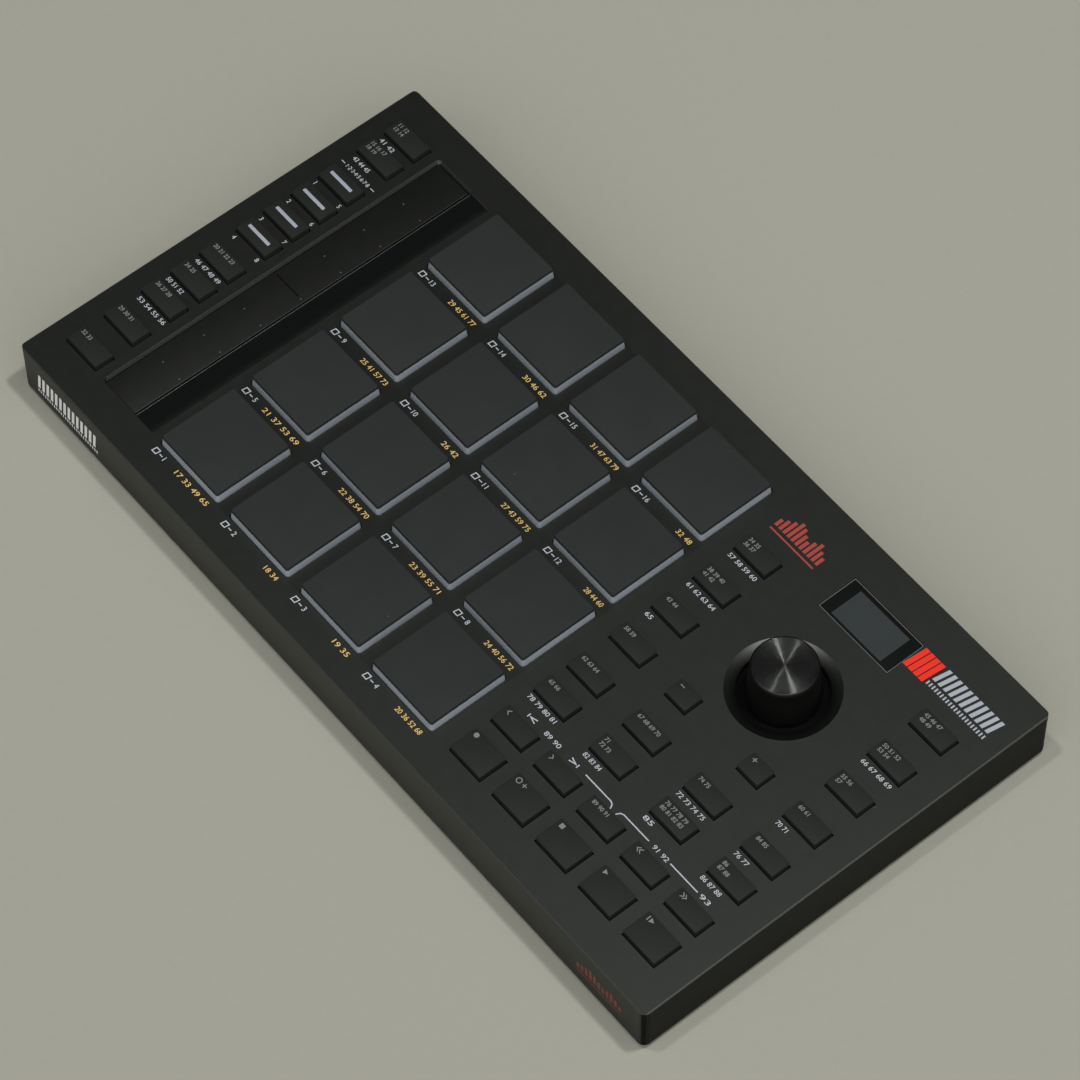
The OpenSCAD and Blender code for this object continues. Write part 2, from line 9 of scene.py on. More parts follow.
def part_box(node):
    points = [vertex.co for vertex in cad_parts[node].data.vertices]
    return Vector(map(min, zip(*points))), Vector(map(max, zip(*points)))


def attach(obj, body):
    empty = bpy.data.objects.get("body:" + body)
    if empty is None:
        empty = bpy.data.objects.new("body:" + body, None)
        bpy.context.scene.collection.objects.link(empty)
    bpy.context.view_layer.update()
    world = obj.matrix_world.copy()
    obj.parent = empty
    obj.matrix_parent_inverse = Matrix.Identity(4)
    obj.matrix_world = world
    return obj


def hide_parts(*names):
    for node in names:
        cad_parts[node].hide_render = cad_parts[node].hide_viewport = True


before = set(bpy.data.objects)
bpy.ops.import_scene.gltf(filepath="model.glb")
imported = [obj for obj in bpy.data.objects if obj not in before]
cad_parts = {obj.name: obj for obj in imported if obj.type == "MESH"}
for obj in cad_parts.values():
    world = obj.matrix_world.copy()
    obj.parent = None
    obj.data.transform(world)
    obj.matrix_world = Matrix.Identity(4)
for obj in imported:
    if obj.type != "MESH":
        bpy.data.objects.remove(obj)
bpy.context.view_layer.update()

# ---- Places, from the frame. Panel places are in millimetres from the left edge and the front edge ----

MM = 0.001
case_low, case_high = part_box("top_case")
PANEL_Z = case_high.z / MM
CASE_W = (case_high.x - case_low.x) / MM
PAD_COUNT = 16
PAD_COLUMNS = 4
# The flanges under the panel: height of their underside, thickness, and reach beyond a key and a pad
FLANGE_Z = PANEL_Z - 4.0
FLANGE_T = 1.2
KEY_LIP = 1.0
PAD_LIP = 1.2


def at(x, y, z=PANEL_Z):
    """A panel place as a point of the frame, in metres."""
    return Vector((case_low.x + x * MM, case_low.y + y * MM, z * MM))


def place_of(node):
    """Low corner, high corner and middle of a node, as panel places with the height above the floor."""
    low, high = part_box(node)
    low, high = (Vector(((p.x - case_low.x) / MM, (p.y - case_low.y) / MM, p.z / MM)) for p in (low, high))
    return low, high, (low + high) / 2


# ---- Materials ----

# A Mix node has sockets of the same name for each kind of data, so they are found by their place
MIX_NUMBERS, MIX_NUMBER_OUT = (2, 3), 0
MIX_COLOURS, MIX_COLOUR_OUT = (6, 7), 2
# Share of a speck's radius that has its full colour
SPECK_CORE = 0.6


def set_range(ranged, *numbers):
    """Ends of the range that a Map Range node reads, then of the range that it gives."""
    for socket, number in zip(("From Min", "From Max", "To Min", "To Max"), numbers):
        ranged.inputs[socket].default_value = number


def tone(colour, gain):
    return tuple(c * gain for c in colour)


class Paint:
    """A Principled material with short calls for the procedural nodes that it needs."""

    def __init__(self, name, **sockets):
        self.mat = bpy.data.materials.new(name)
        self.mat.use_nodes = True
        self.tree = self.mat.node_tree
        self.shader = self.tree.nodes["Principled BSDF"]
        for socket, value in sockets.items():
            self.shader.inputs[socket.replace("_", " ")].default_value = value
        self.coords = self.node("ShaderNodeTexCoord").outputs["Object"]

    def node(self, kind, **settings):
        made = self.tree.nodes.new(kind)
        for key, value in settings.items():
            setattr(made, key, value)
        return made

    def link(self, out, into):
        self.tree.links.new(out, into)

    def noise(self, feature_mm, detail):
        """Noise whose features are about that many millimetres across."""
        noise = self.node("ShaderNodeTexNoise")
        self.link(self.coords, noise.inputs["Vector"])
        noise.inputs["Scale"].default_value = 1 / (feature_mm * MM)
        noise.inputs["Detail"].default_value = detail
        return noise.outputs["Fac"]

    def spread(self, value, low, high, from_low=0.3, from_high=0.7):
        """A value mapped from one range to another, held at its ends."""
        ranged = self.node("ShaderNodeMapRange")
        self.link(value, ranged.inputs["Value"])
        set_range(ranged, from_low, from_high, low, high)
        return ranged.outputs["Result"]

    def mix(self, factor, low, high):
        """Two colours, or colour outputs, mixed by a factor output."""
        mixed = self.node("ShaderNodeMix", data_type="RGBA")
        self.link(factor, mixed.inputs["Factor"])
        for place, colour in zip(MIX_COLOURS, (low, high)):
            if isinstance(colour, tuple):
                mixed.inputs[place].default_value = (*colour, 1)
            else:
                self.link(colour, mixed.inputs[place])
        return mixed.outputs[MIX_COLOUR_OUT]

    def math(self, operation, a, b):
        made = self.node("ShaderNodeMath", operation=operation)
        for socket, value in zip(made.inputs, (a, b)):
            if isinstance(value, (int, float)):
                socket.default_value = value
            else:
                self.link(value, socket)
        return made.outputs[0]

    def blend(self, factor, low, high):
        """A value output mixed with a number by a factor output."""
        mixed = self.node("ShaderNodeMix")
        self.link(factor, mixed.inputs["Factor"])
        low_place, high_place = MIX_NUMBERS
        self.link(low, mixed.inputs[low_place])
        mixed.inputs[high_place].default_value = high
        return mixed.outputs[MIX_NUMBER_OUT]

    def both(self, a, b):
        """Product of two values: 1 where both masks are 1."""
        return self.math("MULTIPLY", a, b)

    def band(self, value, low, high):
        """1 where a value lies between two numbers, and 0 elsewhere."""
        return self.both(self.math("GREATER_THAN", value, low), self.math("LESS_THAN", value, high))

    def axes(self):
        """Object coordinates, one output for each axis."""
        parts = self.node("ShaderNodeSeparateXYZ")
        self.link(self.coords, parts.inputs[0])
        return parts.outputs

    def specks(self, spacing_mm, radius_mm, share):
        """Factor of small round specks, one in each cell of that spacing, in a share of the cells."""
        cells = self.node("ShaderNodeTexVoronoi")
        self.link(self.coords, cells.inputs["Vector"])
        cells.inputs["Scale"].default_value = 1 / (spacing_mm * MM)
        size = radius_mm / spacing_mm
        near = self.spread(cells.outputs["Distance"], 1, 0, size * SPECK_CORE, size)
        shade = self.node("ShaderNodeSeparateColor")
        self.link(cells.outputs["Color"], shade.inputs[0])
        picked = self.math("LESS_THAN", shade.outputs[0], share)
        return self.both(near, picked)

    def tones(self, colour, patch_mm, detail, low, high):
        """A colour with a gain between two numbers, in patches."""
        return self.mix(self.noise(patch_mm, detail), tone(colour, low), tone(colour, high))

    def feed(self, socket, out):
        """Drives a socket of the shader by an output."""
        self.link(out, self.shader.inputs[socket])

    def fed(self, socket):
        """The output that drives a socket of the shader."""
        return self.shader.inputs[socket].links[0].from_socket

    def colour(self, out):
        self.feed("Base Color", out)

    def rough(self, roughness, patch_mm, detail, share):
        """Roughness that differs by a share up and down, in patches."""
        low, high = roughness * (1 - share), roughness * (1 + share)
        self.feed("Roughness", self.spread(self.noise(patch_mm, detail), low, high))

    def bump(self, height, depth_mm):
        """Bump of that depth, added to whatever normal is there already."""
        bump = self.node("ShaderNodeBump")
        bump.inputs["Distance"].default_value = depth_mm * MM
        self.link(height, bump.inputs["Height"])
        if self.shader.inputs["Normal"].links:
            self.link(self.fed("Normal"), bump.inputs["Normal"])
        self.feed("Normal", bump.outputs["Normal"])

    def soft_edges(self, radius_mm):
        """Edges shaded as if rounded to that radius."""
        edge = self.node("ShaderNodeBevel", samples=4)
        edge.inputs["Radius"].default_value = radius_mm * MM
        self.feed("Normal", edge.outputs["Normal"])


DUST = (0.3, 0.3, 0.29)
DUST_SPACING = 9
DUST_R = 0.15


def moulded(
    name, colour, roughness=0.5, grain_mm=0.35, grain_depth=0.01, edge=0.0, dust=0.0, uneven=0.08, **sockets
):
    """Moulded plastic or silicone: fine grain, slightly uneven tone and gloss, and a few specks of dust."""
    paint = Paint(name, **sockets)
    if edge:
        paint.soft_edges(edge)
    base = paint.tones(colour, patch_mm=14, detail=3, low=1 - uneven, high=1 + uneven)
    if dust:
        base = paint.mix(paint.specks(DUST_SPACING, DUST_R, dust), base, DUST)
    paint.colour(base)
    paint.rough(roughness, patch_mm=4, detail=4, share=0.03)
    paint.bump(paint.noise(grain_mm, 3), grain_depth)
    return paint


CASE_COLOUR = (0.0023, 0.0028, 0.0023)
CASE_ROUGH = 0.44
CASE_TINT = (0.95, 1.0, 0.93, 1)
# The right wall and the scooped slope are painted darker as painted shade, and the top edge along the right
# is painted lighter as a painted highlight
SIDE_SHADE_COLOUR = (0.0014, 0.0016, 0.0014)
SCOOP_SHADE_COLOUR = (0.0014, 0.0017, 0.0022)
EDGE_HIGHLIGHT_COLOUR = (0.02, 0.021, 0.02)
# Gloss of the panel, and of the front wall, which fades from one level to the other between two places
PANEL_GLOSS = 0.58
FRONT_GLOSS = (0.42, 0.3528)
FRONT_FADE_X = (200, 300)
# Gloss of the pads' area, scooped slope, narrow slope, right wall, top edges, front corner and dish lip
PART_GLOSS = (0.47, 0.3, 0.95, 0.07, 1.0, 0.03, 0.12)
# Where the looks of the right wall, of the front wall and of the corner between them fade in or out
SIDE_X = (CASE_W - 0.4, CASE_W - 0.15)
FRONT_Y = (0.15, 0.4)
CORNER_X = (CASE_W - 1.85, CASE_W - 1.35)
CORNER_Y = (1.35, 1.85)
EDGE_SIZE = 0.45
# Places of the scooped slope beside the strip, which is painted darker as painted shade that fades out
# towards its right end, of the narrow slope round the strip, and of the pads
SCOOP_X = (47.55, 57.3)
SCOOP_SHADE_FADE = 2.6
SUNK_Y = (12.5, 158.4)
SUNK_DEPTH = 1.6
SUNK_SKIN = 0.02
GRID_X = (62.0, 207.6)
GRID_Y = (12.5, 158.1)
SLOPE_X = (29.0, 30.2)
SLOPE_Y = (157.15, 158.4)
# Radii of the dial's dish and of the lip where it falls into the well
DISH_R = 19.4
DISH_ROUGH = 0.36
LIP_R = (15.7, 18.4)


def case_plastic():
    """Satin black plastic with a fine grain. Walls, edges, slopes and the dish differ a little in gloss. The
    right wall and the scooped slope are painted darker as painted shade, and the top edge along the right is
    painted lighter as a painted highlight.
    """
    paint = moulded("case_satin_black", CASE_COLOUR, CASE_ROUGH, edge=0.2, dust=0.12, Specular_Tint=CASE_TINT)
    x, y, z = paint.axes()

    def across(*places):
        """Panel places along the width as coordinates."""
        return (at(place, 0).x for place in places)

    def deep(*places):
        """Panel places along the depth as coordinates."""
        return (at(0, place).y for place in places)

    # Walls, with the edges round the panel and the upright corner at the front right
    on_wall = paint.math("LESS_THAN", z, (PANEL_Z - EDGE_SIZE) * MM)
    on_edge = paint.math("SUBTRACT", 1.0, on_wall)
    # Painted shade: the right wall is painted darker than the panel, and its gloss is lower
    side = paint.both(on_wall, paint.spread(x, 0, 1, *across(*SIDE_X)))
    # Painted highlight: the top edge along the right wall is painted lighter
    right_edge_highlight = paint.both(on_edge, paint.math("GREATER_THAN", x, *across(CASE_W - EDGE_SIZE)))
    front_edge = paint.both(on_edge, paint.math("LESS_THAN", y, *deep(EDGE_SIZE)))
    edge = paint.math("MAXIMUM", front_edge, right_edge_highlight)
    corner = paint.both(paint.spread(x, 0, 1, *across(*CORNER_X)), paint.spread(y, 1, 0, *deep(*CORNER_Y)))
    corner = paint.both(on_wall, corner)

    # Pads, and the sunk area with the strip
    grid = paint.both(paint.band(x, *across(*GRID_X)), paint.band(y, *deep(*GRID_Y)))
    sunk = paint.band(z, (PANEL_Z - SUNK_DEPTH) * MM, (PANEL_Z - SUNK_SKIN) * MM)
    sunk = paint.both(sunk, paint.band(y, *deep(*SUNK_Y)))
    # Painted shade: the scooped slope is painted darker, fading into the panel at its right end
    shaded_scoop = paint.both(sunk, paint.band(x, *across(*SCOOP_X)))
    shaded_scoop = paint.both(shaded_scoop, paint.spread(x, 1, 0, *across(SCOOP_X[1] - SCOOP_SHADE_FADE, SCOOP_X[1])))
    slope = paint.both(paint.band(y, *deep(*SLOPE_Y)), paint.band(x, *across(SLOPE_X[0], SCOOP_X[0])))
    slope = paint.both(sunk, paint.math("MAXIMUM", paint.band(x, *across(*SLOPE_X)), slope))

    # Dish, by the distance from the dial's axis
    dial = place_of("jog_dial")[2]
    offsets = [paint.math("SUBTRACT", axis, centre) for axis, centre in zip((x, y), at(dial.x, dial.y))]
    squared = paint.math("ADD", *(paint.both(offset, offset) for offset in offsets))
    away = paint.math("POWER", squared, 0.5)
    dish = paint.math("LESS_THAN", away, DISH_R * MM)
    lip = paint.spread(away, 1, 0, *(r * MM for r in LIP_R))

    # Painted shade on the scooped slope and the right wall, and a painted highlight on the right top edge
    base = paint.mix(shaded_scoop, paint.fed("Base Color"), SCOOP_SHADE_COLOUR)
    base = paint.mix(right_edge_highlight, base, EDGE_HIGHLIGHT_COLOUR)
    paint.colour(paint.mix(side, base, SIDE_SHADE_COLOUR))
    front = paint.spread(x, *FRONT_GLOSS, *across(*FRONT_FADE_X))
    gloss = paint.blend(paint.spread(y, 0, 1, *deep(*FRONT_Y)), front, PANEL_GLOSS)
    for mask, level in zip((grid, shaded_scoop, slope, side, edge, corner, lip), PART_GLOSS):
        gloss = paint.blend(mask, gloss, level)
    paint.feed("Specular IOR Level", gloss)
    paint.feed("Roughness", paint.blend(dish, paint.fed("Roughness"), DISH_ROUGH))
    return paint


def printed(name, colour, roughness=0.55, **sockets):
    """Screen printing ink, slightly uneven in tone."""
    paint = Paint(name, **sockets)
    paint.colour(paint.tones(colour, patch_mm=0.5, detail=4, low=0.82, high=1.05))
    paint.rough(roughness, patch_mm=2, detail=2, share=0.1)
    return paint


def metal(name, colour, roughness):
    """Bare metal, slightly uneven in tone and gloss."""
    paint = Paint(name, Metallic=1.0)
    paint.colour(paint.tones(colour, patch_mm=3, detail=3, low=0.85, high=1.05))
    paint.rough(roughness, patch_mm=0.6, detail=3, share=0.15)
    return paint


# Width of the spun grooves and of the grain across them, in millimetres, and the slope that each can reach
GROOVE = 0.05
GROOVE_TILT = 1.3
GRAIN = 0.04
GRAIN_TILT = 7.0
SPUN_COLOURS = ((0.042, 0.045, 0.042), (0.066, 0.07, 0.065))


def spun_metal(centre):
    """Dark spun aluminium: fine grooves round the dial's axis tilt it in and out, and some grain sideways."""
    paint = Paint("spun_metal", Metallic=0.88, Anisotropic=1.0, Anisotropic_Rotation=0.25)

    def vector_math(operation, first, second=None):
        made = paint.node("ShaderNodeVectorMath", operation=operation)
        paint.link(first, made.inputs[0])
        if isinstance(second, tuple):
            made.inputs[1].default_value = second
        elif second is not None:
            paint.link(second, made.inputs["Scale" if operation == "SCALE" else 1])
        return made.outputs["Value" if operation == "LENGTH" else "Vector"]

    place = paint.node("ShaderNodeMapping")
    place.inputs["Location"].default_value = (-centre.x, -centre.y, 0)
    paint.link(paint.coords, place.inputs["Vector"])
    across = vector_math("MULTIPLY", place.outputs["Vector"], (1, 1, 0))
    grooves = paint.node("ShaderNodeTexNoise", noise_dimensions="1D")
    grooves.inputs["Scale"].default_value = 1 / (GROOVE * MM)
    grooves.inputs["Detail"].default_value = 2.0
    paint.link(vector_math("LENGTH", across), grooves.inputs["W"])
    outward = paint.node(
        "ShaderNodeVectorTransform", vector_type="VECTOR", convert_from="OBJECT", convert_to="WORLD"
    )
    paint.link(vector_math("NORMALIZE", across), outward.inputs[0])
    # Noise less a half is within 1/2, and its cube, which is mostly small, within 1/8
    groove = paint.math("SUBTRACT", grooves.outputs["Fac"], 0.5)
    lean = vector_math("SCALE", outward.outputs[0], paint.both(groove, 2 * GROOVE_TILT))
    flat = paint.node("ShaderNodeNewGeometry").outputs["Normal"]
    swing = paint.math("SUBTRACT", paint.noise(GRAIN, 2), 0.5)
    twist = paint.both(paint.both(paint.both(swing, swing), swing), 8 * GRAIN_TILT)
    along = vector_math("CROSS_PRODUCT", outward.outputs[0], flat)
    lean = vector_math("ADD", lean, vector_math("SCALE", along, twist))
    paint.feed("Normal", vector_math("NORMALIZE", vector_math("ADD", flat, lean)))
    paint.colour(paint.mix(grooves.outputs["Fac"], *SPUN_COLOURS))
    paint.rough(0.2, patch_mm=1.5, detail=2, share=0.05)
    around = paint.node("ShaderNodeTangent", direction_type="RADIAL", axis="Z")
    paint.feed("Tangent", around.outputs["Tangent"])
    return paint


GRIP_SHINE = (0.14, 0.18)
GRIP_FADE = 0.4


def grip_rubber(shoulder_z):
    """Black rubber, with a little more gloss on the rounded shoulder from about that height up."""
    paint = moulded("dial_rubber", (0.0018, 0.0018, 0.0016), 0.5, grain_mm=0.3)
    fade = ((shoulder_z - GRIP_FADE) * MM, (shoulder_z + GRIP_FADE) * MM)
    paint.feed("Specular IOR Level", paint.spread(paint.axes()[2], *GRIP_SHINE, *fade))
    return paint


PAINTS = {
    "case": case_plastic(),
    "base": moulded("base_black", (0.012, 0.012, 0.0125), 0.55, grain_mm=0.8, grain_depth=0.03),
    "foot": moulded("foot_rubber", (0.014, 0.014, 0.014), 0.8, grain_mm=0.3, grain_depth=0.02),
    "pad": moulded(
        "pad_silicone", (0.016, 0.0184, 0.0182), 0.72, grain_mm=0.25, dust=0.35, uneven=0.16,
        Specular_IOR_Level=0.3
    ),
    "skirt": moulded("skirt_silicone", (0.317, 0.354, 0.39), 0.5, grain_mm=0.5, grain_depth=0.004),
    "key": moulded(
        "key_plastic", (0.0104, 0.0115, 0.0102), 0.6, grain_mm=0.3, dust=0.08, Specular_IOR_Level=0.25,
        Specular_Tint=CASE_TINT
    ),
    "strip": moulded(
        "strip_film", (0.0021, 0.0026, 0.0022), 0.44, grain_mm=0.5, grain_depth=0.003,
        Specular_IOR_Level=0.45, Specular_Tint=CASE_TINT
    ),
    "window": moulded("window_gloss", (0.0072, 0.008, 0.0078), 0.16, grain_mm=2, grain_depth=0.001),
    "lcd": moulded(
        "lcd_grey", (0.028, 0.034, 0.034), 0.35, grain_mm=0.4, grain_depth=0.001, Coat_Weight=0.4
    ),
    # Light grey raised edge round the display window: a painted highlight
    "frame": moulded("frame_painted_highlight", (0.13, 0.13, 0.125), 0.3, grain_mm=1, grain_depth=0.002),
    # Bead beside the touch strip, lighter than the case: a painted highlight
    "ridge_highlight": moulded("ridge_painted_highlight", (0.02, 0.02, 0.019), 0.3, grain_depth=0.002),
    # Near-black matt liner in the dial's well: painted shade
    "well": moulded("well_painted_shade", (0.0015, 0.0015, 0.0015), 0.9, Specular_IOR_Level=0.1),
    "bar": moulded("bar_white", (0.33, 0.355, 0.41), 0.4, grain_depth=0.002),
    "white": printed("ink_white", (0.5, 0.53, 0.57)),
    "amber": printed("ink_amber", (0.76, 0.5, 0.15)),
    "soft_white": printed("ink_white_soft", (0.38, 0.41, 0.45)),
    "red": printed("ink_red", (0.36, 0.042, 0.03)),
    "bright_red": printed("ink_red_bright", (0.86, 0.03, 0.014), Specular_IOR_Level=0.2),
    "worn_white": printed("ink_white_worn", (0.85, 0.85, 0.85)),
    "worn_red": printed("ink_red_worn", (0.18, 0.03, 0.021)),
    "dim": printed("ink_dim", (0.19, 0.2, 0.196)),
    "dot": printed("ink_dot", (0.085, 0.085, 0.08)),
    "dark": printed("ink_dark", (0.0012, 0.0012, 0.0014), 0.7, Specular_IOR_Level=0.05),
    "board": moulded("board_green", (0.012, 0.09, 0.045), 0.35, grain_mm=1.2),
    "mat": moulded("mat_silicone", (0.2, 0.2, 0.205), 0.65),
    "film": moulded("sensor_film", (0.32, 0.19, 0.06), 0.3),
    "nylon": moulded("nylon", (0.6, 0.58, 0.5), 0.5),
    "jack": moulded("jack_black", (0.014, 0.014, 0.014), 0.4),
    "steel": metal("plated_steel", (0.55, 0.55, 0.54), 0.3),
    "screw": metal("black_steel", (0.09, 0.09, 0.092), 0.4),
    "zinc": metal("cast_zinc", (0.4, 0.4, 0.4), 0.42),
    "gold": metal("contact_gold", (0.75, 0.55, 0.25), 0.25),
}

CAD_PAINT = {
    "top_case": "case", "bottom_case": "base", "rubber_feet": "foot", "screws": "screw",
    "key_board": "board", "io_board": "board", "key_mats": "mat", "pad_sensor_sheet": "film",
    "display_module": "jack", "encoder_body": "zinc", "usb_socket": "steel", "midi_jacks": "jack",
    "encoder_plunger": "nylon", "encoder_shaft": "steel",
}


# ---- Shapes ----

CORNER_STEPS = 5
EDGE_STEPS = 4
CREASE = math.radians(35)
QUARTER = math.radians(90)


def outline(w, d, corner):
    """Points of a rounded rectangle about the origin, in millimetres."""
    points = []
    for quarter, (sx, sy) in enumerate(((1, 1), (-1, 1), (-1, -1), (1, -1))):
        for step in range(CORNER_STEPS + 1):
            turn = QUARTER * (quarter + step / CORNER_STEPS)
            points.append((
                sx * (w / 2 - corner) + corner * math.cos(turn),
                sy * (d / 2 - corner) + corner * math.sin(turn),
            ))
    return points


def rounded_top(w, d, corner, z0, z1, edge):
    """Rings of a block with a rounded top edge: width, depth, corner radius and height of each."""
    rings = [(w, d, corner, z0)]
    for turn in spaced(0, QUARTER, EDGE_STEPS + 1):
        inset = edge * (1 - math.cos(turn))
        rings.append((w - 2 * inset, d - 2 * inset, corner - inset, z1 - edge + edge * math.sin(turn)))
    return rings


def loft(mesh, loops, hollow=False):
    """Solid through loops of as many points each, lowest first. A hollow one closes on its first loop."""
    rows = [[mesh.verts.new(point) for point in loop] for loop in loops]
    for low, high in zip(rows, rows[1:] + rows[:1] if hollow else rows[1:]):
        for n in range(len(low)):
            m = (n + 1) % len(low)
            mesh.faces.new((low[n], low[m], high[m], high[n]))
    if not hollow:
        mesh.faces.new(rows[0][::-1])
        mesh.faces.new(rows[-1])


def stack(mesh, x, y, rings, hollow=False):
    """Solid through rounded rectangles about one panel place. A hollow one is a frame."""
    loops = [[at(x + px, y + py, z) for px, py in outline(w, d, corner)] for w, d, corner, z in rings]
    loft(mesh, loops, hollow)


def circle(points):
    """Points of a circle of radius 1 about the origin."""
    return [(math.cos(math.tau * n / points), math.sin(math.tau * n / points)) for n in range(points)]


def turned(mesh, x, y, profile, points, radius=lambda r, n: r, hollow=False):
    """Solid of a profile of radius and height about one panel place. A hollow one is a ring."""
    loft(mesh, [
        [at(x + radius(r, n) * u, y + radius(r, n) * v, z) for n, (u, v) in enumerate(circle(points))]
        for r, z in profile
    ], hollow)


def add(name, data):
    """A new object of the scene."""
    made = bpy.data.objects.new(name, data)
    bpy.context.scene.collection.objects.link(made)
    return made


def piece(name, body, paint, build, replaces=()):
    """A new piece that rides on a body. build fills its mesh."""
    mesh = bmesh.new()
    build(mesh)
    bmesh.ops.recalc_face_normals(mesh, faces=mesh.faces)
    data = bpy.data.meshes.new(name)
    mesh.to_mesh(data)
    mesh.free()
    data.shade_smooth()
    data.set_sharp_from_angle(angle=CREASE)
    data.materials.append((PAINTS[paint] if isinstance(paint, str) else paint).mat)
    made = add(name, data)
    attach(made, body)
    if replaces:
        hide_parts(*replaces)


def spaced(first, last, count):
    """That many numbers in even steps, or the middle for one."""
    if count == 1:
        return [(first + last) / 2]
    return [first + (last - first) * n / (count - 1) for n in range(count)]


# ---- Pads ----

CAP_H = 1.3
CAP_TAPER = 0.2
CAP_CORNER = 0.8
CAP_EDGE = 0.25
SKIRT_TAPER = 0.35
SKIRT_CORNER = 1.2
# The skirt's taper starts this far below the panel
SKIRT_START = 0.3
# Groove between the skirt and the cap
SEAM_H = 0.14
SEAM_INSET = 0.3


def make_pads():
    """Each pad is a translucent skirt with a dark cap on top."""
    for n in range(1, PAD_COUNT + 1):
        node = f"pad_{n}"
        low, high, middle = place_of(node)
        wide = high.x - low.x
        w = wide - 2 * PAD_LIP
        narrow = w - 2 * SKIRT_TAPER
        seam = narrow - 2 * SEAM_INSET
        cap_z = high.z - CAP_H

        def skirt(mesh):
            rings = [
                (w, low.z), (w, FLANGE_Z), (wide, FLANGE_Z), (wide, FLANGE_Z + FLANGE_T),
                (w, FLANGE_Z + FLANGE_T), (w, PANEL_Z - SKIRT_START), (narrow, cap_z - SEAM_H),
            ]
            rings = [(size, size, SKIRT_CORNER, z) for size, z in rings]
            stack(mesh, middle.x, middle.y, rings + [(seam, seam, CAP_CORNER, cap_z - SEAM_H)])

        def cap(mesh):
            rings = [(seam, cap_z - SEAM_H), (seam, cap_z), (narrow, cap_z)]
            rings = [(size, size, CAP_CORNER, z) for size, z in rings]
            top = narrow - 2 * CAP_TAPER
            rings += rounded_top(top, top, CAP_CORNER, high.z - CAP_EDGE, high.z, CAP_EDGE)[1:]
            stack(mesh, middle.x, middle.y, rings)

        piece(f"{node}_skirt", node, "skirt", skirt, (node,))
        piece(f"{node}_cap", node, "pad", cap, (node,))


# ---- Keys ----

# Keys in each set that holds more than one, along the width and along the depth
SETS = {
    "bank_keys": (1, 4), "select_keys": (1, 3), "sample_keys": (1, 3), "step_keys": (2, 1),
    "screen_keys": (1, 2), "timing_keys": (1, 2), "view_keys": (1, 2), "event_keys": (2, 1),
    "seek_keys": (2, 1),
}
STEP_KEY_W = 9.7
KEY_W = 15.1
KEY_D = 7.5
KEY_CORNER = 0.35
KEY_EDGE = 0.14
# What the panel hides: the stem's width and depth, the corners, and how much thinner a plate is than a lip
STEM = (6, 4)
HIDDEN_CORNER = 0.3
PLATE_INSET = 0.02
KEY_NODES = [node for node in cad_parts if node.endswith(("_key", "_keys"))]


def keys_of(node):
    """Middle and size of each key of a set, from the left and from the back."""
    low, high, _ = place_of(node)
    across, along = SETS.get(node, (1, 1))
    w = high.x - low.x - 2 * KEY_LIP
    d = high.y - low.y - 2 * KEY_LIP
    if across > 1:
        w = STEP_KEY_W if node == "step_keys" else KEY_W
    if along > 1:
        d = KEY_D
    xs = spaced(low.x + KEY_LIP + w / 2, high.x - KEY_LIP - w / 2, across)
    ys = spaced(high.y - KEY_LIP - d / 2, low.y + KEY_LIP + d / 2, along)
    return [(x, y, w, d) for x in xs for y in ys]


def make_keys():
    """Each key has a stem, a lip under the panel and a cap. A plate joins the keys of a set."""
    flange_top = FLANGE_Z + FLANGE_T
    for node in KEY_NODES:
        low, high, middle = place_of(node)
        keys = keys_of(node)

        def key_set(mesh):
            if len(keys) > 1:
                plate = (high.x - low.x, high.y - low.y, HIDDEN_CORNER)
                levels = (FLANGE_Z + PLATE_INSET, flange_top - PLATE_INSET)
                stack(mesh, middle.x, middle.y, [(*plate, z) for z in levels])
            for x, y, w, d in keys:
                lip = (w + 2 * KEY_LIP, d + 2 * KEY_LIP)
                rings = [(STEM, low.z), (STEM, FLANGE_Z), (lip, FLANGE_Z), (lip, flange_top)]
                rings = [(*size, HIDDEN_CORNER, z) for size, z in rings]
                rings += rounded_top(w, d, KEY_CORNER, flange_top, high.z, KEY_EDGE)
                stack(mesh, x, y, rings)

        piece(f"{node}_caps" if len(keys) > 1 else f"{node}_cap", node, "key", key_set, (node,))


# ---- Dial ----

RIBS = 84
RIB_DEPTH = 0.13
RIB_POINTS = 6
# The ribs end this far inside the foot, and at this share of the shoulder's width
RIB_END = 0.05
RIB_SHOULDER = 0.7
FOOT_H = 0.8
FOOT_EDGE = 0.3
FOOT_RIM = 0.1
SIDE_STEPS = 14
SHOULDER_W = 0.75
SHOULDER_H = 1.2
SHOULDER_STEPS = 6
# Metal disc: how far it stands above the rubber and clear of it, and its edge and rings
DISC_UP = 0.12
DISC_GAP = 0.02
DISC_SINK = 0.1
DISC_EDGE = 0.14
DISC_RINGS = (0.75, 0.5, 0.25, 0.05)


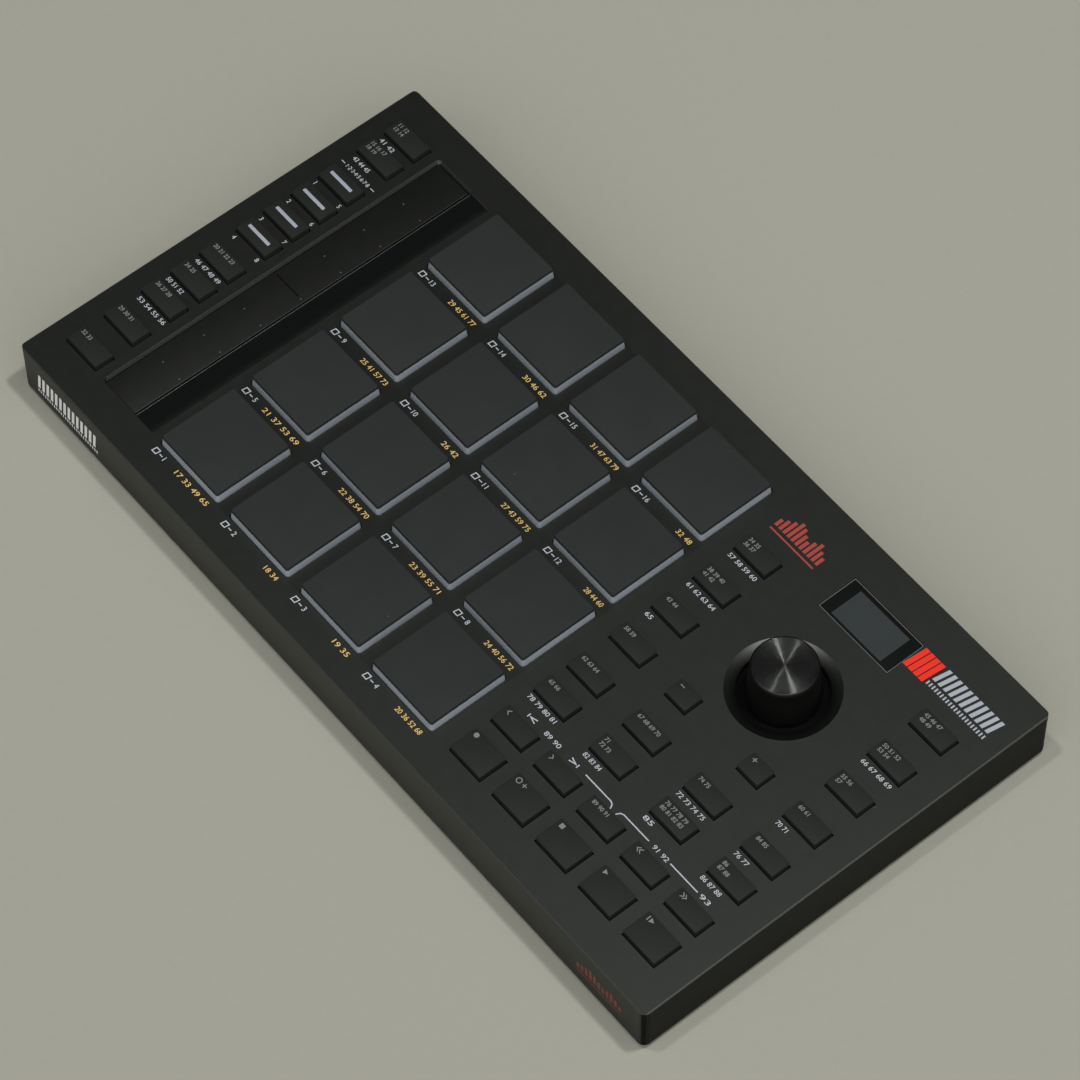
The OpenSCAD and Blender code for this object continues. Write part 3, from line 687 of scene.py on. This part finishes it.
def make_dial():
    """Ribbed rubber body with a rounded shoulder, and a spun metal disc let into its top."""
    low, high, middle = place_of("jog_dial")
    cap_low, cap_high, _ = place_of("dial_cap")
    base_r = (high.x - low.x) / 2
    disc_r = (cap_high.x - cap_low.x) / 2
    top_r = disc_r + SHOULDER_W
    side_low = low.z + FOOT_H
    shoulder_z = cap_high.z - DISC_UP - SHOULDER_H

    def ribbed(r, n):
        on_side = disc_r + SHOULDER_W * RIB_SHOULDER < r < base_r - RIB_END
        swing = 0.5 + 0.5 * math.cos(math.tau * n / RIB_POINTS)
        return r - RIB_DEPTH * (1 - swing) if on_side else r

    def grip(mesh):
        profile = [(base_r - FOOT_EDGE, low.z), (base_r, low.z + FOOT_EDGE), (base_r, side_low - FOOT_RIM)]
        for t in spaced(0, 1, SIDE_STEPS + 1):
            profile.append((top_r + (base_r - top_r) * (1 - t) ** 2, side_low + (shoulder_z - side_low) * t))
        inner_r = disc_r + DISC_GAP
        for turn in spaced(0, QUARTER, SHOULDER_STEPS + 1)[1:]:
            r = inner_r + (SHOULDER_W - DISC_GAP) * math.cos(turn)
            profile.append((r, shoulder_z + SHOULDER_H * math.sin(turn)))
        profile.append((inner_r, cap_low.z - DISC_SINK))
        turned(mesh, middle.x, middle.y, profile, RIBS * RIB_POINTS, ribbed)

    def disc(mesh):
        profile = [(disc_r, cap_low.z), (disc_r, cap_high.z - DISC_EDGE), (disc_r - DISC_EDGE, cap_high.z)]
        profile += [(disc_r * share, cap_high.z) for share in DISC_RINGS]
        turned(mesh, middle.x, middle.y, profile, points=128)

    piece("dial_grip", "dial", grip_rubber(shoulder_z), grip, ("jog_dial",))
    piece("dial_disc", "dial", spun_metal(at(middle.x, middle.y)), disc, ("dial_cap",))


# Liner in the dial's well, near black as painted shade
WELL_R = 15.55
WELL_FLOOR = PANEL_Z - 3.6
WELL_TOP = PANEL_Z - 1.45
WELL_HOLE = 4.8
LINER = 0.08


def make_well():
    """Matt black liner of the dial's well, darker than the case: painted shade where the well lies in shade.
    """
    _, _, middle = place_of("jog_dial")

    def liner(mesh):
        profile = [
            (WELL_HOLE, WELL_FLOOR), (WELL_R, WELL_FLOOR), (WELL_R, WELL_TOP), (WELL_R - LINER, WELL_TOP),
            (WELL_R - LINER, WELL_FLOOR + LINER), (WELL_HOLE, WELL_FLOOR + LINER),
        ]
        turned(mesh, middle.x, middle.y, profile, points=96, hollow=True)

    piece("dial_well_shade_liner", "case", "well", liner, ())


# ---- Strip and display ----

STRIP_EDGE = 0.22
STRIP_CORNER = 0.5
BEAD_W = 0.42
BEAD_H = 0.14
BEAD_ROOT = 0.1
BEAD_STEPS = 6


def bead(mesh, path):
    """Half round edge along a path of panel places with heights."""
    turns = spaced(0, math.pi, BEAD_STEPS + 1)
    arc = [(BEAD_W / 2 * math.cos(turn), BEAD_H * math.sin(turn)) for turn in turns]
    section = [(BEAD_W / 2, -BEAD_ROOT), *arc, (-BEAD_W / 2, -BEAD_ROOT)]
    loops = []
    for n, (x, y, z) in enumerate(path):
        before, after = path[max(n - 1, 0)], path[min(n + 1, len(path) - 1)]
        way = Vector((after[0] - before[0], after[1] - before[1])).normalized()
        loops.append([at(x + way.y * reach, y - way.x * reach, z + up) for reach, up in section])
    loft(mesh, loops)


def make_strip():
    """Touch strip, and the bead beside it, painted lighter than the case as a painted highlight."""
    low, high, middle = place_of("touch_strip")

    def strip(mesh):
        stack(mesh, middle.x, middle.y, rounded_top(
            high.x - low.x, high.y - low.y, STRIP_CORNER, low.z, high.z, STRIP_EDGE
        ))

    def ridge(mesh):
        """Edge along the low side of the slope, which turns the corner along the slope's back end."""
        x, z = high.x + 0.9, high.z + 0.1
        end = high.y + 0.3
        bead(mesh, [
            (x, low.y - 0.2, z), (x, end - 0.6, z),
            (x + 0.1, end - 0.2, z + 0.35), (x + 0.5, end + 0.05, z + 0.75),
            (x + 1.1, end + 0.1, PANEL_Z - 0.02), (x + 6.5, end + 0.1, PANEL_Z - 0.02),
            (x + 9.0, end + 0.1, PANEL_Z - 0.08),
        ])

    piece("strip_surface", "case", "strip", strip, ("touch_strip",))
    piece("strip_ridge", "case", "ridge_highlight", ridge, ())


LCD_W = 24.0
LCD_D = 12.9
LCD_SHIFT = 0.3
LCD_CORNER = 0.2
WINDOW_CORNER = 0.3
WINDOW_EDGE = 0.1
# Raised edge round the window: inset, corner radius and height above the glass of each ring
FRAME_SECTION = (
    (0, 0.3, -0.1), (0, 0.3, 0.06), (0.08, 0.3, 0.14), (0.25, 0.25, 0.14), (0.3, 0.2, 0.06), (0.3, 0.2, -0.1),
)


def make_display():
    """Window with a raised edge painted light grey as a painted highlight, and the display's grey pane in its
    face.
    """
    low, high, middle = place_of("display_window")
    w, d = high.x - low.x, high.y - low.y

    def window(mesh):
        stack(mesh, middle.x, middle.y, rounded_top(w, d, WINDOW_CORNER, low.z, high.z, WINDOW_EDGE))

    def pane(mesh):
        rings = [(LCD_W, LCD_D, LCD_CORNER, high.z + up) for up in (-0.05, 0.02)]
        stack(mesh, middle.x, middle.y - LCD_SHIFT, rings)

    def edge(mesh):
        rings = [(w - 2 * inset, d - 2 * inset, corner, high.z + up) for inset, corner, up in FRAME_SECTION]
        stack(mesh, middle.x, middle.y, rings, hollow=True)

    piece("window_glass", "case", "window", window, ("display_window",))
    piece("window_edge", "case", "frame", edge, ())
    piece("lcd_pane", "case", "lcd", pane, ())


# ---- Printed marks: plain numbers, signs and bars, as thin solids ----

# How far the marks stand above their surface and reach into it
INK = 0.03
SUNK = 0.01
SLANT = 0.04
BOLD = 0.003
LEGEND_BOLD = 0.014
MITRE_MIN = 0.3


def glyphs(text, bold):
    """Points and faces of a text in Blender's own font, in a box from 0 to 1 each way, and its aspect."""
    curve = bpy.data.curves.new("glyphs", "FONT")
    curve.body = text
    curve.offset = bold
    curve.resolution_u = 3
    holder = bpy.data.objects.new("glyphs", curve)
    data = bpy.data.meshes.new_from_object(holder)
    xs = [v.co.x for v in data.vertices]
    ys = [v.co.y for v in data.vertices]
    w, h = max(xs) - min(xs), max(ys) - min(ys)
    points = [((x - min(xs)) / w, (y - min(ys)) / h) for x, y in zip(xs, ys)]
    faces = [tuple(face.vertices) for face in data.polygons]
    bpy.data.objects.remove(holder)
    bpy.data.curves.remove(curve)
    bpy.data.meshes.remove(data)
    return points, faces, w / h


class Ink:
    """Flat shapes on a surface, made solid at the end. The surface turns u, v and a lift into a point."""

    def __init__(self, surface):
        self.surface = surface
        self.shapes = []

    def shape(self, points, faces=None):
        """Faces over a list of points, or one face through them all."""
        self.shapes.append((points, faces or [tuple(range(len(points)))]))

    def box(self, u0, u1, v0, v1, lean=0.0):
        self.shape([(u0, v0), (u1, v0), (u1 + lean, v1), (u0 + lean, v1)])

    def bars(self, u, pitch, width, low, highs, lean=0.0):
        """Upright bars side by side from one place on, one for each height in a list."""
        for n, high in enumerate(highs):
            self.box(u + n * pitch, u + n * pitch + width, low, high, lean)

    def text(self, text, u0, v0, height, width=None, bold=BOLD):
        """Text with its lower left corner at a place. Without a width it keeps its own."""
        points, faces, aspect = glyphs(text, bold)
        lean = SLANT * height
        w = (width - lean) if width else aspect * height
        self.shape([(u0 + u * w + v * lean, v0 + v * height) for u, v in points], faces)

    def line(self, points, width, closed=False):
        """Band of one width along points, with mitred corners."""
        count = len(points)
        left, right = [], []
        for n, here in enumerate(points):
            before = points[(n - 1) % count] if closed or n else None
            after = points[(n + 1) % count] if closed or n < count - 1 else None
            ways = []
            for a, b in ((before, here), (here, after)):
                if a is not None and b is not None:
                    ways.append((Vector(b) - Vector(a)).normalized())
            side = sum(ways, Vector((0, 0))).normalized()
            side = Vector((-side.y, side.x))
            reach = width / 2 / max(MITRE_MIN, side.dot(Vector((-ways[0].y, ways[0].x))))
            left.append(tuple(Vector(here) + side * reach))
            right.append(tuple(Vector(here) - side * reach))
        faces = []
        for n in range(count if closed else count - 1):
            m = (n + 1) % count
            faces.append((n, m, count + m, count + n))
        self.shape(left + right, faces)

    def ring(self, u, v, r, width, points):
        self.line([(u + r * a, v + r * b) for a, b in circle(points)], width, closed=True)

    def dot(self, u, v, r, points):
        self.shape([(u + r * a, v + r * b) for a, b in circle(points)])

    def solid(self, mesh):
        """Closed solids between each shape just under the surface and the same shape above it."""
        for points, faces in self.shapes:
            low = [mesh.verts.new(self.surface(u, v, -SUNK)) for u, v in points]
            high = [mesh.verts.new(self.surface(u, v, INK)) for u, v in points]
            sides = {}
            for face in faces:
                mesh.faces.new([high[n] for n in face])
                mesh.faces.new([low[n] for n in reversed(face)])
                for a, b in zip(face, face[1:] + face[:1]):
                    sides[(a, b)] = (b, a) not in sides
                    if not sides[(a, b)]:
                        sides[(b, a)] = False
            for (a, b), outer in sides.items():
                if outer:
                    mesh.faces.new((low[a], low[b], high[b], high[a]))


def level(z):
    """Surface that lies flat at a height."""
    return lambda u, v, lift: at(u, v, z + lift)


def front_wall(u, v, lift):
    """Front wall of the case, with u along it and v up it."""
    return at(u, -lift, v)


def print_marks(body, *prints):
    """A piece for each name, ink colour and ink."""
    for name, paint, ink in prints:
        piece(name, body, paint, ink.solid)


LABEL_H = 1.75
NUMBERS = itertools.cycle(range(41, 100))
LEGEND_NUMBERS = itertools.cycle(range(11, 100))
# Width of a two-digit number with its gap, and of the gap alone
GROUP_W = 3.4
GROUP_GAP = 0.7


def groups(width):
    """How many two-digit numbers fill that width."""
    return max(1, round((width + GROUP_GAP) / GROUP_W))


def row(source, count):
    """The next numbers of a source, in a row."""
    return " ".join(str(next(source)) for _ in range(count))


def label(ink, x0, x1, y):
    """Row of two-digit numbers between two places, with the middle of its height at y."""
    ink.text(row(NUMBERS, groups(x1 - x0)), x0, y - LABEL_H / 2, LABEL_H, x1 - x0)


# White labels to the left of the pads: left end, right end, middle height
LEFT_LABELS = [
    (9.6, 16.8, 147.7), (9.8, 18.1, 135.8), (9.6, 22.7, 67.55), (9.6, 18.1, 55.4), (9.8, 24.4, 43.0),
]
# White labels in the right block
RIGHT_LABELS = [
    (215.6, 229.1, 130.5), (215.6, 229.1, 112.7), (215.6, 218.7, 95.0), (301.8, 315.5, 112.7),
    (301.6, 306.5, 77.0), (273.4, 286.5, 59.6), (301.6, 307.9, 59.6),
    (215.5, 229.0, 45.9), (243.5, 251.7, 45.9), (273.3, 277.7, 45.9), (301.4, 310.6, 45.9),
]
# Heading over the bank keys, with a dash on either side, and the numbers below each key
BANK_DASHES_X = (8.1, 24.0)
BANK_DASH = (1.8, 0.3)
BANK_HEADING_X = (11.0, 22.9)
BANK_HEADING_H = 1.6
BANK_HEADING_UP = 2.4
BANK_NUMBERS_X = (9.8, 22.6)
BANK_NUMBERS_DOWN = 6.8
BANKS = 4
LINE_Y = 41.2
LINE_LOW = 39.3
LINE_BEND = 40.7
LINE_W = 0.42
LINE_TEXT_DOWN = 0.85
ARROW_UP = 0.75


def mark_left(ink):
    """Marks beside the left column of keys."""
    for x0, x1, y in LEFT_LABELS:
        label(ink, x0, x1, y)
    _, high, _ = place_of("bank_keys")
    heading_y = high.y + BANK_HEADING_UP
    dash_w, dash_h = BANK_DASH
    for x in BANK_DASHES_X:
        ink.box(x, x + dash_w, heading_y - dash_h / 2, heading_y + dash_h / 2)
    x0, x1 = BANK_HEADING_X
    ink.text("1·2·3·4·5·6·7·8", x0, heading_y - BANK_HEADING_H / 2, BANK_HEADING_H, x1 - x0)
    for n, (_, y, _, _) in enumerate(keys_of("bank_keys"), 1):
        for number, x in zip((n, n + BANKS), BANK_NUMBERS_X):
            ink.text(str(number), x, y - BANK_NUMBERS_DOWN, LABEL_H)


def mark_line(ink):
    """The line under the locate labels: arrows to a stop, and a bracket that runs on to the right."""
    low, high = LINE_Y - ARROW_UP, LINE_Y + ARROW_UP
    for path in (
        [(221.4, low), (221.4, high)],
        [(225.0, low), (222.4, LINE_Y), (225.0, high)],
        [(242.4, low), (245.0, LINE_Y), (242.4, high)],
        [(246.0, low), (246.0, high)],
        [(250.0, LINE_Y), (262.6, LINE_Y), (263.7, LINE_BEND), (264.5, LINE_LOW)],
        [(267.1, LINE_LOW), (267.9, LINE_BEND), (269.0, LINE_Y), (281.3, LINE_Y)],
        [(291.8, LINE_Y), (305.1, LINE_Y)],
    ):
        ink.line(path, LINE_W)
    for count, x, width in ((2, 229.6, 7.6), (2, 283.5, 7.2), (1, 306.3, 4.6)):
        ink.text(row(NUMBERS, count), x, LINE_Y - LINE_TEXT_DOWN, LABEL_H, width)


def mark_beside_display(white, red):
    """Beside the display: a few tall red bars, then slanted white bars over a row of fine ticks."""
    red.bars(282.9, 2.45, 2.0, 146.6, [156.3] * 4, lean=0.9)
    white.bars(293.6, 2.5, 1.5, 149.9, [156.5] * 11, lean=1.2)
    white.bars(293.4, 1.33, 0.6, 147.2, [148.8] * 21)


METER = (3.2, 4.6, 6.0, 7.6, 6.8, 5.2, 4.0, 5.6, 7.0, 5.0, 3.6)


def mark_red(red):
    """Red bars like a level meter over a line, to the left of the display."""
    red.bars(216.2, 2.0, 1.3, 149.4, [149.4 + height for height in METER])
    red.box(216.2, 237.5, 147.4, 148.0)


# Marks beside a pad: height, where they start from its middle, then square, dash and number from there
PAD_LABEL_H = 1.95
PAD_LABEL_X = 15.05
PAD_LABEL_Y = 19.6
PAD_SQUARE_LEAN = 0.3
PAD_SQUARE_W = 0.36
PAD_DASH = (3.0, 4.5, 0.8, 1.15)
PAD_NUMBER_X = 5.4
# Left ends of the amber numbers, in rows from the front, and their right end from the pad's middle
AMBER_LEFT = (
    (74.4, 122.8, 159.3, 192.1), (73.0, 114.5, 152.0, 191.0), (78.1, 121.6, 153.2, 195.9),
    (78.2, 118.2, 153.8, 197.8),
)
AMBER_END = 14.1
AMBER_MOST = 4


def mark_pads(white, amber):
    """Beside each pad's front edge: a small square, a dash and its number, then further numbers in amber."""
    for n in range(1, PAD_COUNT + 1):
        _, _, middle = place_of(f"pad_{n}")
        x, y = middle.x - PAD_LABEL_X, middle.y - PAD_LABEL_Y
        side, lean = PAD_LABEL_H, PAD_SQUARE_LEAN
        square = [(x, y), (x + side, y), (x + side + lean, y + side), (x + lean, y + side)]
        white.line(square, PAD_SQUARE_W, closed=True)
        left, right, low, high = PAD_DASH
        white.box(x + left, x + right, y + low, y + high)
        white.text(str(n), x + PAD_NUMBER_X, y, PAD_LABEL_H)
        start = AMBER_LEFT[(n - 1) // PAD_COLUMNS][(n - 1) % PAD_COLUMNS]
        width = middle.x + AMBER_END - start
        further = [str(n + PAD_COUNT * step) for step in range(1, min(AMBER_MOST, groups(width)) + 1)]
        amber.text(" ".join(further), start, y, PAD_LABEL_H, width)


# Rows of dim numbers on each key, by how many numbers a row holds, or the sign that stands there
LEGENDS = {
    "note_repeat_key": [(2, 2)], "strip_mode_key": [(3, 2)], "full_level_key": [(4,)], "copy_key": [(2,)],
    "pad_mute_key": [(3,)], "sixteen_level_key": [(3,)], "erase_key": [(2,)],
    "select_keys": [(2, 2), (3, 2), (2,)], "sample_keys": [(3, 2), (3, 2), (2, 1)], "shift_key": [(2,)],
    "step_keys": ["minus", "plus"], "tune_key": [(2,)], "screen_keys": [(3,), (2,)],
    "timing_keys": [(4,), (1, 2)], "view_keys": [(2,), (4, 4)], "undo_key": [(2,)], "tap_key": [(1, 2)],
    "event_keys": ["back", "on"], "locate_key": [(3,)], "seek_keys": ["fast_back", "fast_on"],
    "record_key": ["record"], "overdub_key": ["overdub"], "stop_key": ["stop"], "play_key": ["play"],
    "play_start_key": ["play_start"],
}
LEGEND_H = 1.6
LEGEND_ROW = 2.25
LEGEND_INSET = 1.3
LEGEND_TOP = 0.975
# Signs: their place from where a legend starts, half of their height, and the width of their lines
SIGN_SHIFT = (1.0, -0.9)
SIGN_R = 0.95
SIGN_W = 0.34


def plus(ink, x, y, reach, upright=True):
    """A plus sign about one place, or only its level bar, which is a minus sign."""
    half = SIGN_W / 2
    ink.box(x - reach, x + reach, y - half, y + half)
    for low, high in ((half, reach), (-reach, -half)) if upright else ():
        ink.box(x - half, x + half, y + low, y + high)


def sign(ink, kind, x, y):
    """A transport sign about one place."""
    s = SIGN_R
    if kind in ("minus", "plus"):
        plus(ink, x, y, s, kind == "plus")
    for name, way in (("back", -1), ("on", 1)):
        if kind.endswith(name):
            for step in (0, 1.1) if kind.startswith("fast") else (0,):
                tip = x + way * s * 0.6 + step
                tail = x - way * s * 0.5 + step
                ink.line([(tail, y + s), (tip, y), (tail, y - s)], SIGN_W)
    if kind == "record":
        ink.dot(x, y, s, points=20)
    if kind == "overdub":
        ink.ring(x, y, s, SIGN_W, points=20)
        plus(ink, x + 2.7, y, 0.9)
    if kind == "stop":
        ink.box(x - s * 0.9, x + s * 0.9, y - s * 0.9, y + s * 0.9)
    if kind.startswith("play"):
        left = x - s * 0.8 + (1.0 if kind == "play_start" else 0)
        ink.shape([(left, y - s), (left + s * 1.8, y), (left, y + s)])
    if kind == "play_start":
        ink.box(x - s * 0.9, x - s * 0.9 + 0.4, y - s, y + s)


def make_legends():
    """Dim numbers or a sign in the back left corner of each key."""
    for node, legends in LEGENDS.items():
        _, high, _ = place_of(node)
        ink = Ink(level(high.z))
        for (x, y, w, d), rows in zip(keys_of(node), legends):
            left = x - w / 2 + LEGEND_INSET
            top = y + d / 2 - LEGEND_TOP
            if isinstance(rows, str):
                sign(ink, rows, left + SIGN_SHIFT[0], top + SIGN_SHIFT[1])
                continue
            for n, count in enumerate(rows):
                low = top - LEGEND_H - n * LEGEND_ROW
                ink.text(row(LEGEND_NUMBERS, count), left, low, LEGEND_H, bold=LEGEND_BOLD)
        print_marks(node, (f"{node}_legend", "dim", ink))


BAR_W = 11.2
BAR_D = 1.3
BAR_SHIFT = (-0.3, 0.35)
BAR_CORNER = 0.3
BAR_SUNK = 0.2
BAR_UP = 0.06


def make_bank_bars():
    """White light bars let into the bank keys."""
    _, high, _ = place_of("bank_keys")
    rings = rounded_top(BAR_W, BAR_D, BAR_CORNER, high.z - BAR_SUNK, high.z + BAR_UP, BAR_UP)

    def bars(mesh):
        for x, y, _, _ in keys_of("bank_keys"):
            stack(mesh, x + BAR_SHIFT[0], y + BAR_SHIFT[1], rings)

    piece("bank_light_bars", "bank_keys", "bar", bars, ())


STRIP_DOTS_X = (35.9, 44.9)
STRIP_DOT_PITCH = 17.2
STRIP_DOT_ROWS = 7
STRIP_DOT_R = 0.28
STRIP_LINE_X = (31.6, 43.6)
STRIP_LINE_W = 0.44


def make_strip_marks():
    """Two rows of dots along the touch strip, and a line across its middle."""
    _, high, middle = place_of("touch_strip")
    dots = Ink(level(high.z))
    half = STRIP_DOT_ROWS // 2 * STRIP_DOT_PITCH
    for x in STRIP_DOTS_X:
        for y in spaced(middle.y - half, middle.y + half, STRIP_DOT_ROWS):
            dots.dot(x, y, STRIP_DOT_R, points=10)
    line = Ink(level(high.z))
    line.box(*STRIP_LINE_X, middle.y - STRIP_LINE_W / 2, middle.y + STRIP_LINE_W / 2)
    print_marks("case", ("strip_dots", "dot", dots), ("strip_centre_line", "dark", line))


def make_front_marks():
    """On the front wall: white bars and ticks at the left, and a red meter at the right."""
    white, red = Ink(front_wall), Ink(front_wall)
    white.bars(8.7, 2.4, 1.35, 8.4, [16.4] * 14, lean=1.2)
    white.bars(8.6, 1.27, 0.55, 5.7, [7.3] * 27)
    red.bars(295.4, 2.04, 1.25, 9.8, [9.8 + height * 0.8 for height in METER])
    red.box(295.4, 317.1, 7.7, 8.2)
    print_marks("case", ("front_ticks_white", "worn_white", white), ("front_bars_red", "worn_red", red))


def make_marks():
    """Marks on the panel, one piece for each ink."""
    soft, bright, white, amber, red = (Ink(level(PANEL_Z)) for _ in range(5))
    mark_left(white)
    for x0, x1, y in RIGHT_LABELS:
        label(white, x0, x1, y)
    mark_line(white)
    mark_pads(white, amber)
    mark_beside_display(soft, bright)
    mark_red(red)
    print_marks(
        "case", ("panel_bars_white", "soft_white", soft), ("panel_bars_bright", "bright_red", bright),
        ("panel_numbers_white", "white", white), ("pad_numbers_amber", "amber", amber),
        ("panel_bars_red", "red", red),
    )


# ---- CAD nodes that stay ----

for node, paint in CAD_PAINT.items():
    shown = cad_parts[node]
    shown.data.materials.clear()
    shown.data.materials.append(PAINTS[paint].mat)

make_pads()
make_keys()
make_dial()
make_well()
make_strip()
make_display()
make_bank_bars()
make_strip_marks()
make_marks()
make_legends()
make_front_marks()


# ---- Camera, floor and light ----

CAMERA_PLACE = Vector((0.6870, -0.5406, 1.3860))
CAMERA_AZIMUTH = math.radians(51.43)
CAMERA_ELEVATION = math.radians(57.50)
CAMERA_ROLL = math.radians(-0.84)
LENS_MM = 164.15


def make_camera():
    """The photo's camera, as it was solved from the panel's corners and edges."""
    data = bpy.data.cameras.new("camera")
    data.sensor_width = 36
    data.lens = LENS_MM
    data.clip_start = 0.01
    camera = add("camera", data)
    turn = Matrix.Translation(CAMERA_PLACE)
    for angle, axis in ((CAMERA_AZIMUTH, "Z"), (QUARTER - CAMERA_ELEVATION, "X"), (CAMERA_ROLL, "Z")):
        turn = turn @ Matrix.Rotation(angle, 4, axis)
    camera.matrix_world = turn
    bpy.context.scene.camera = camera


FLOOR_COLOUR = (0.345, 0.34, 0.285)
FLOOR_REACH = 6


def make_floor():
    mesh = bmesh.new()
    bmesh.ops.create_grid(mesh, x_segments=1, y_segments=1, size=FLOOR_REACH)
    data = bpy.data.meshes.new("floor")
    mesh.to_mesh(data)
    mesh.free()
    paint = Paint("floor_plain", Roughness=0.9)
    paint.colour(paint.tones(FLOOR_COLOUR, patch_mm=3, detail=3, low=0.975, high=1.025))
    data.materials.append(paint.mat)
    floor = add("floor", data)


def area_light(name, place, size, power):
    """Square lamp that points at the middle of the floor."""
    data = bpy.data.lights.new(name, "AREA")
    data.shape = "SQUARE"
    data.size = size
    data.energy = power
    lamp = add(name, data)
    lamp.location = place
    lamp.rotation_euler = (-Vector(place)).to_track_quat("-Z", "Y").to_euler()


# The surroundings are brightest in front, to the right and above
SKY_SIDE = Vector((0.705, -0.6375, 0.44)).normalized()
SKY_FROM = 0.03
SKY_LOW = 0.01
SKY_HIGH = 1.31
# Place, size and power of each lamp
LAMPS = {"lamp_right": ((0.328, 0.306, 1.9), 0.14, 14), "lamp_left": ((-0.164, -0.303, 1.9), 0.1, 7)}


def make_light():
    world = bpy.data.worlds.new("studio")
    world.use_nodes = True
    nodes, links = world.node_tree.nodes, world.node_tree.links
    way = nodes.new("ShaderNodeTexCoord")
    toward = nodes.new("ShaderNodeVectorMath")
    toward.operation = "DOT_PRODUCT"
    toward.inputs[1].default_value = SKY_SIDE
    links.new(way.outputs["Generated"], toward.inputs[0])
    ramp = nodes.new("ShaderNodeMapRange")
    ramp.interpolation_type = "SMOOTHSTEP"
    set_range(ramp, SKY_FROM, 1.0, SKY_LOW, SKY_HIGH)
    links.new(toward.outputs["Value"], ramp.inputs["Value"])
    links.new(ramp.outputs["Result"], nodes["Background"].inputs["Strength"])
    nodes["Background"].inputs["Color"].default_value = (1, 1, 1, 1)
    bpy.context.scene.world = world
    for name, settings in LAMPS.items():
        area_light(name, *settings)


make_camera()
make_floor()
make_light()
bpy.context.scene.view_settings.view_transform = "Standard"
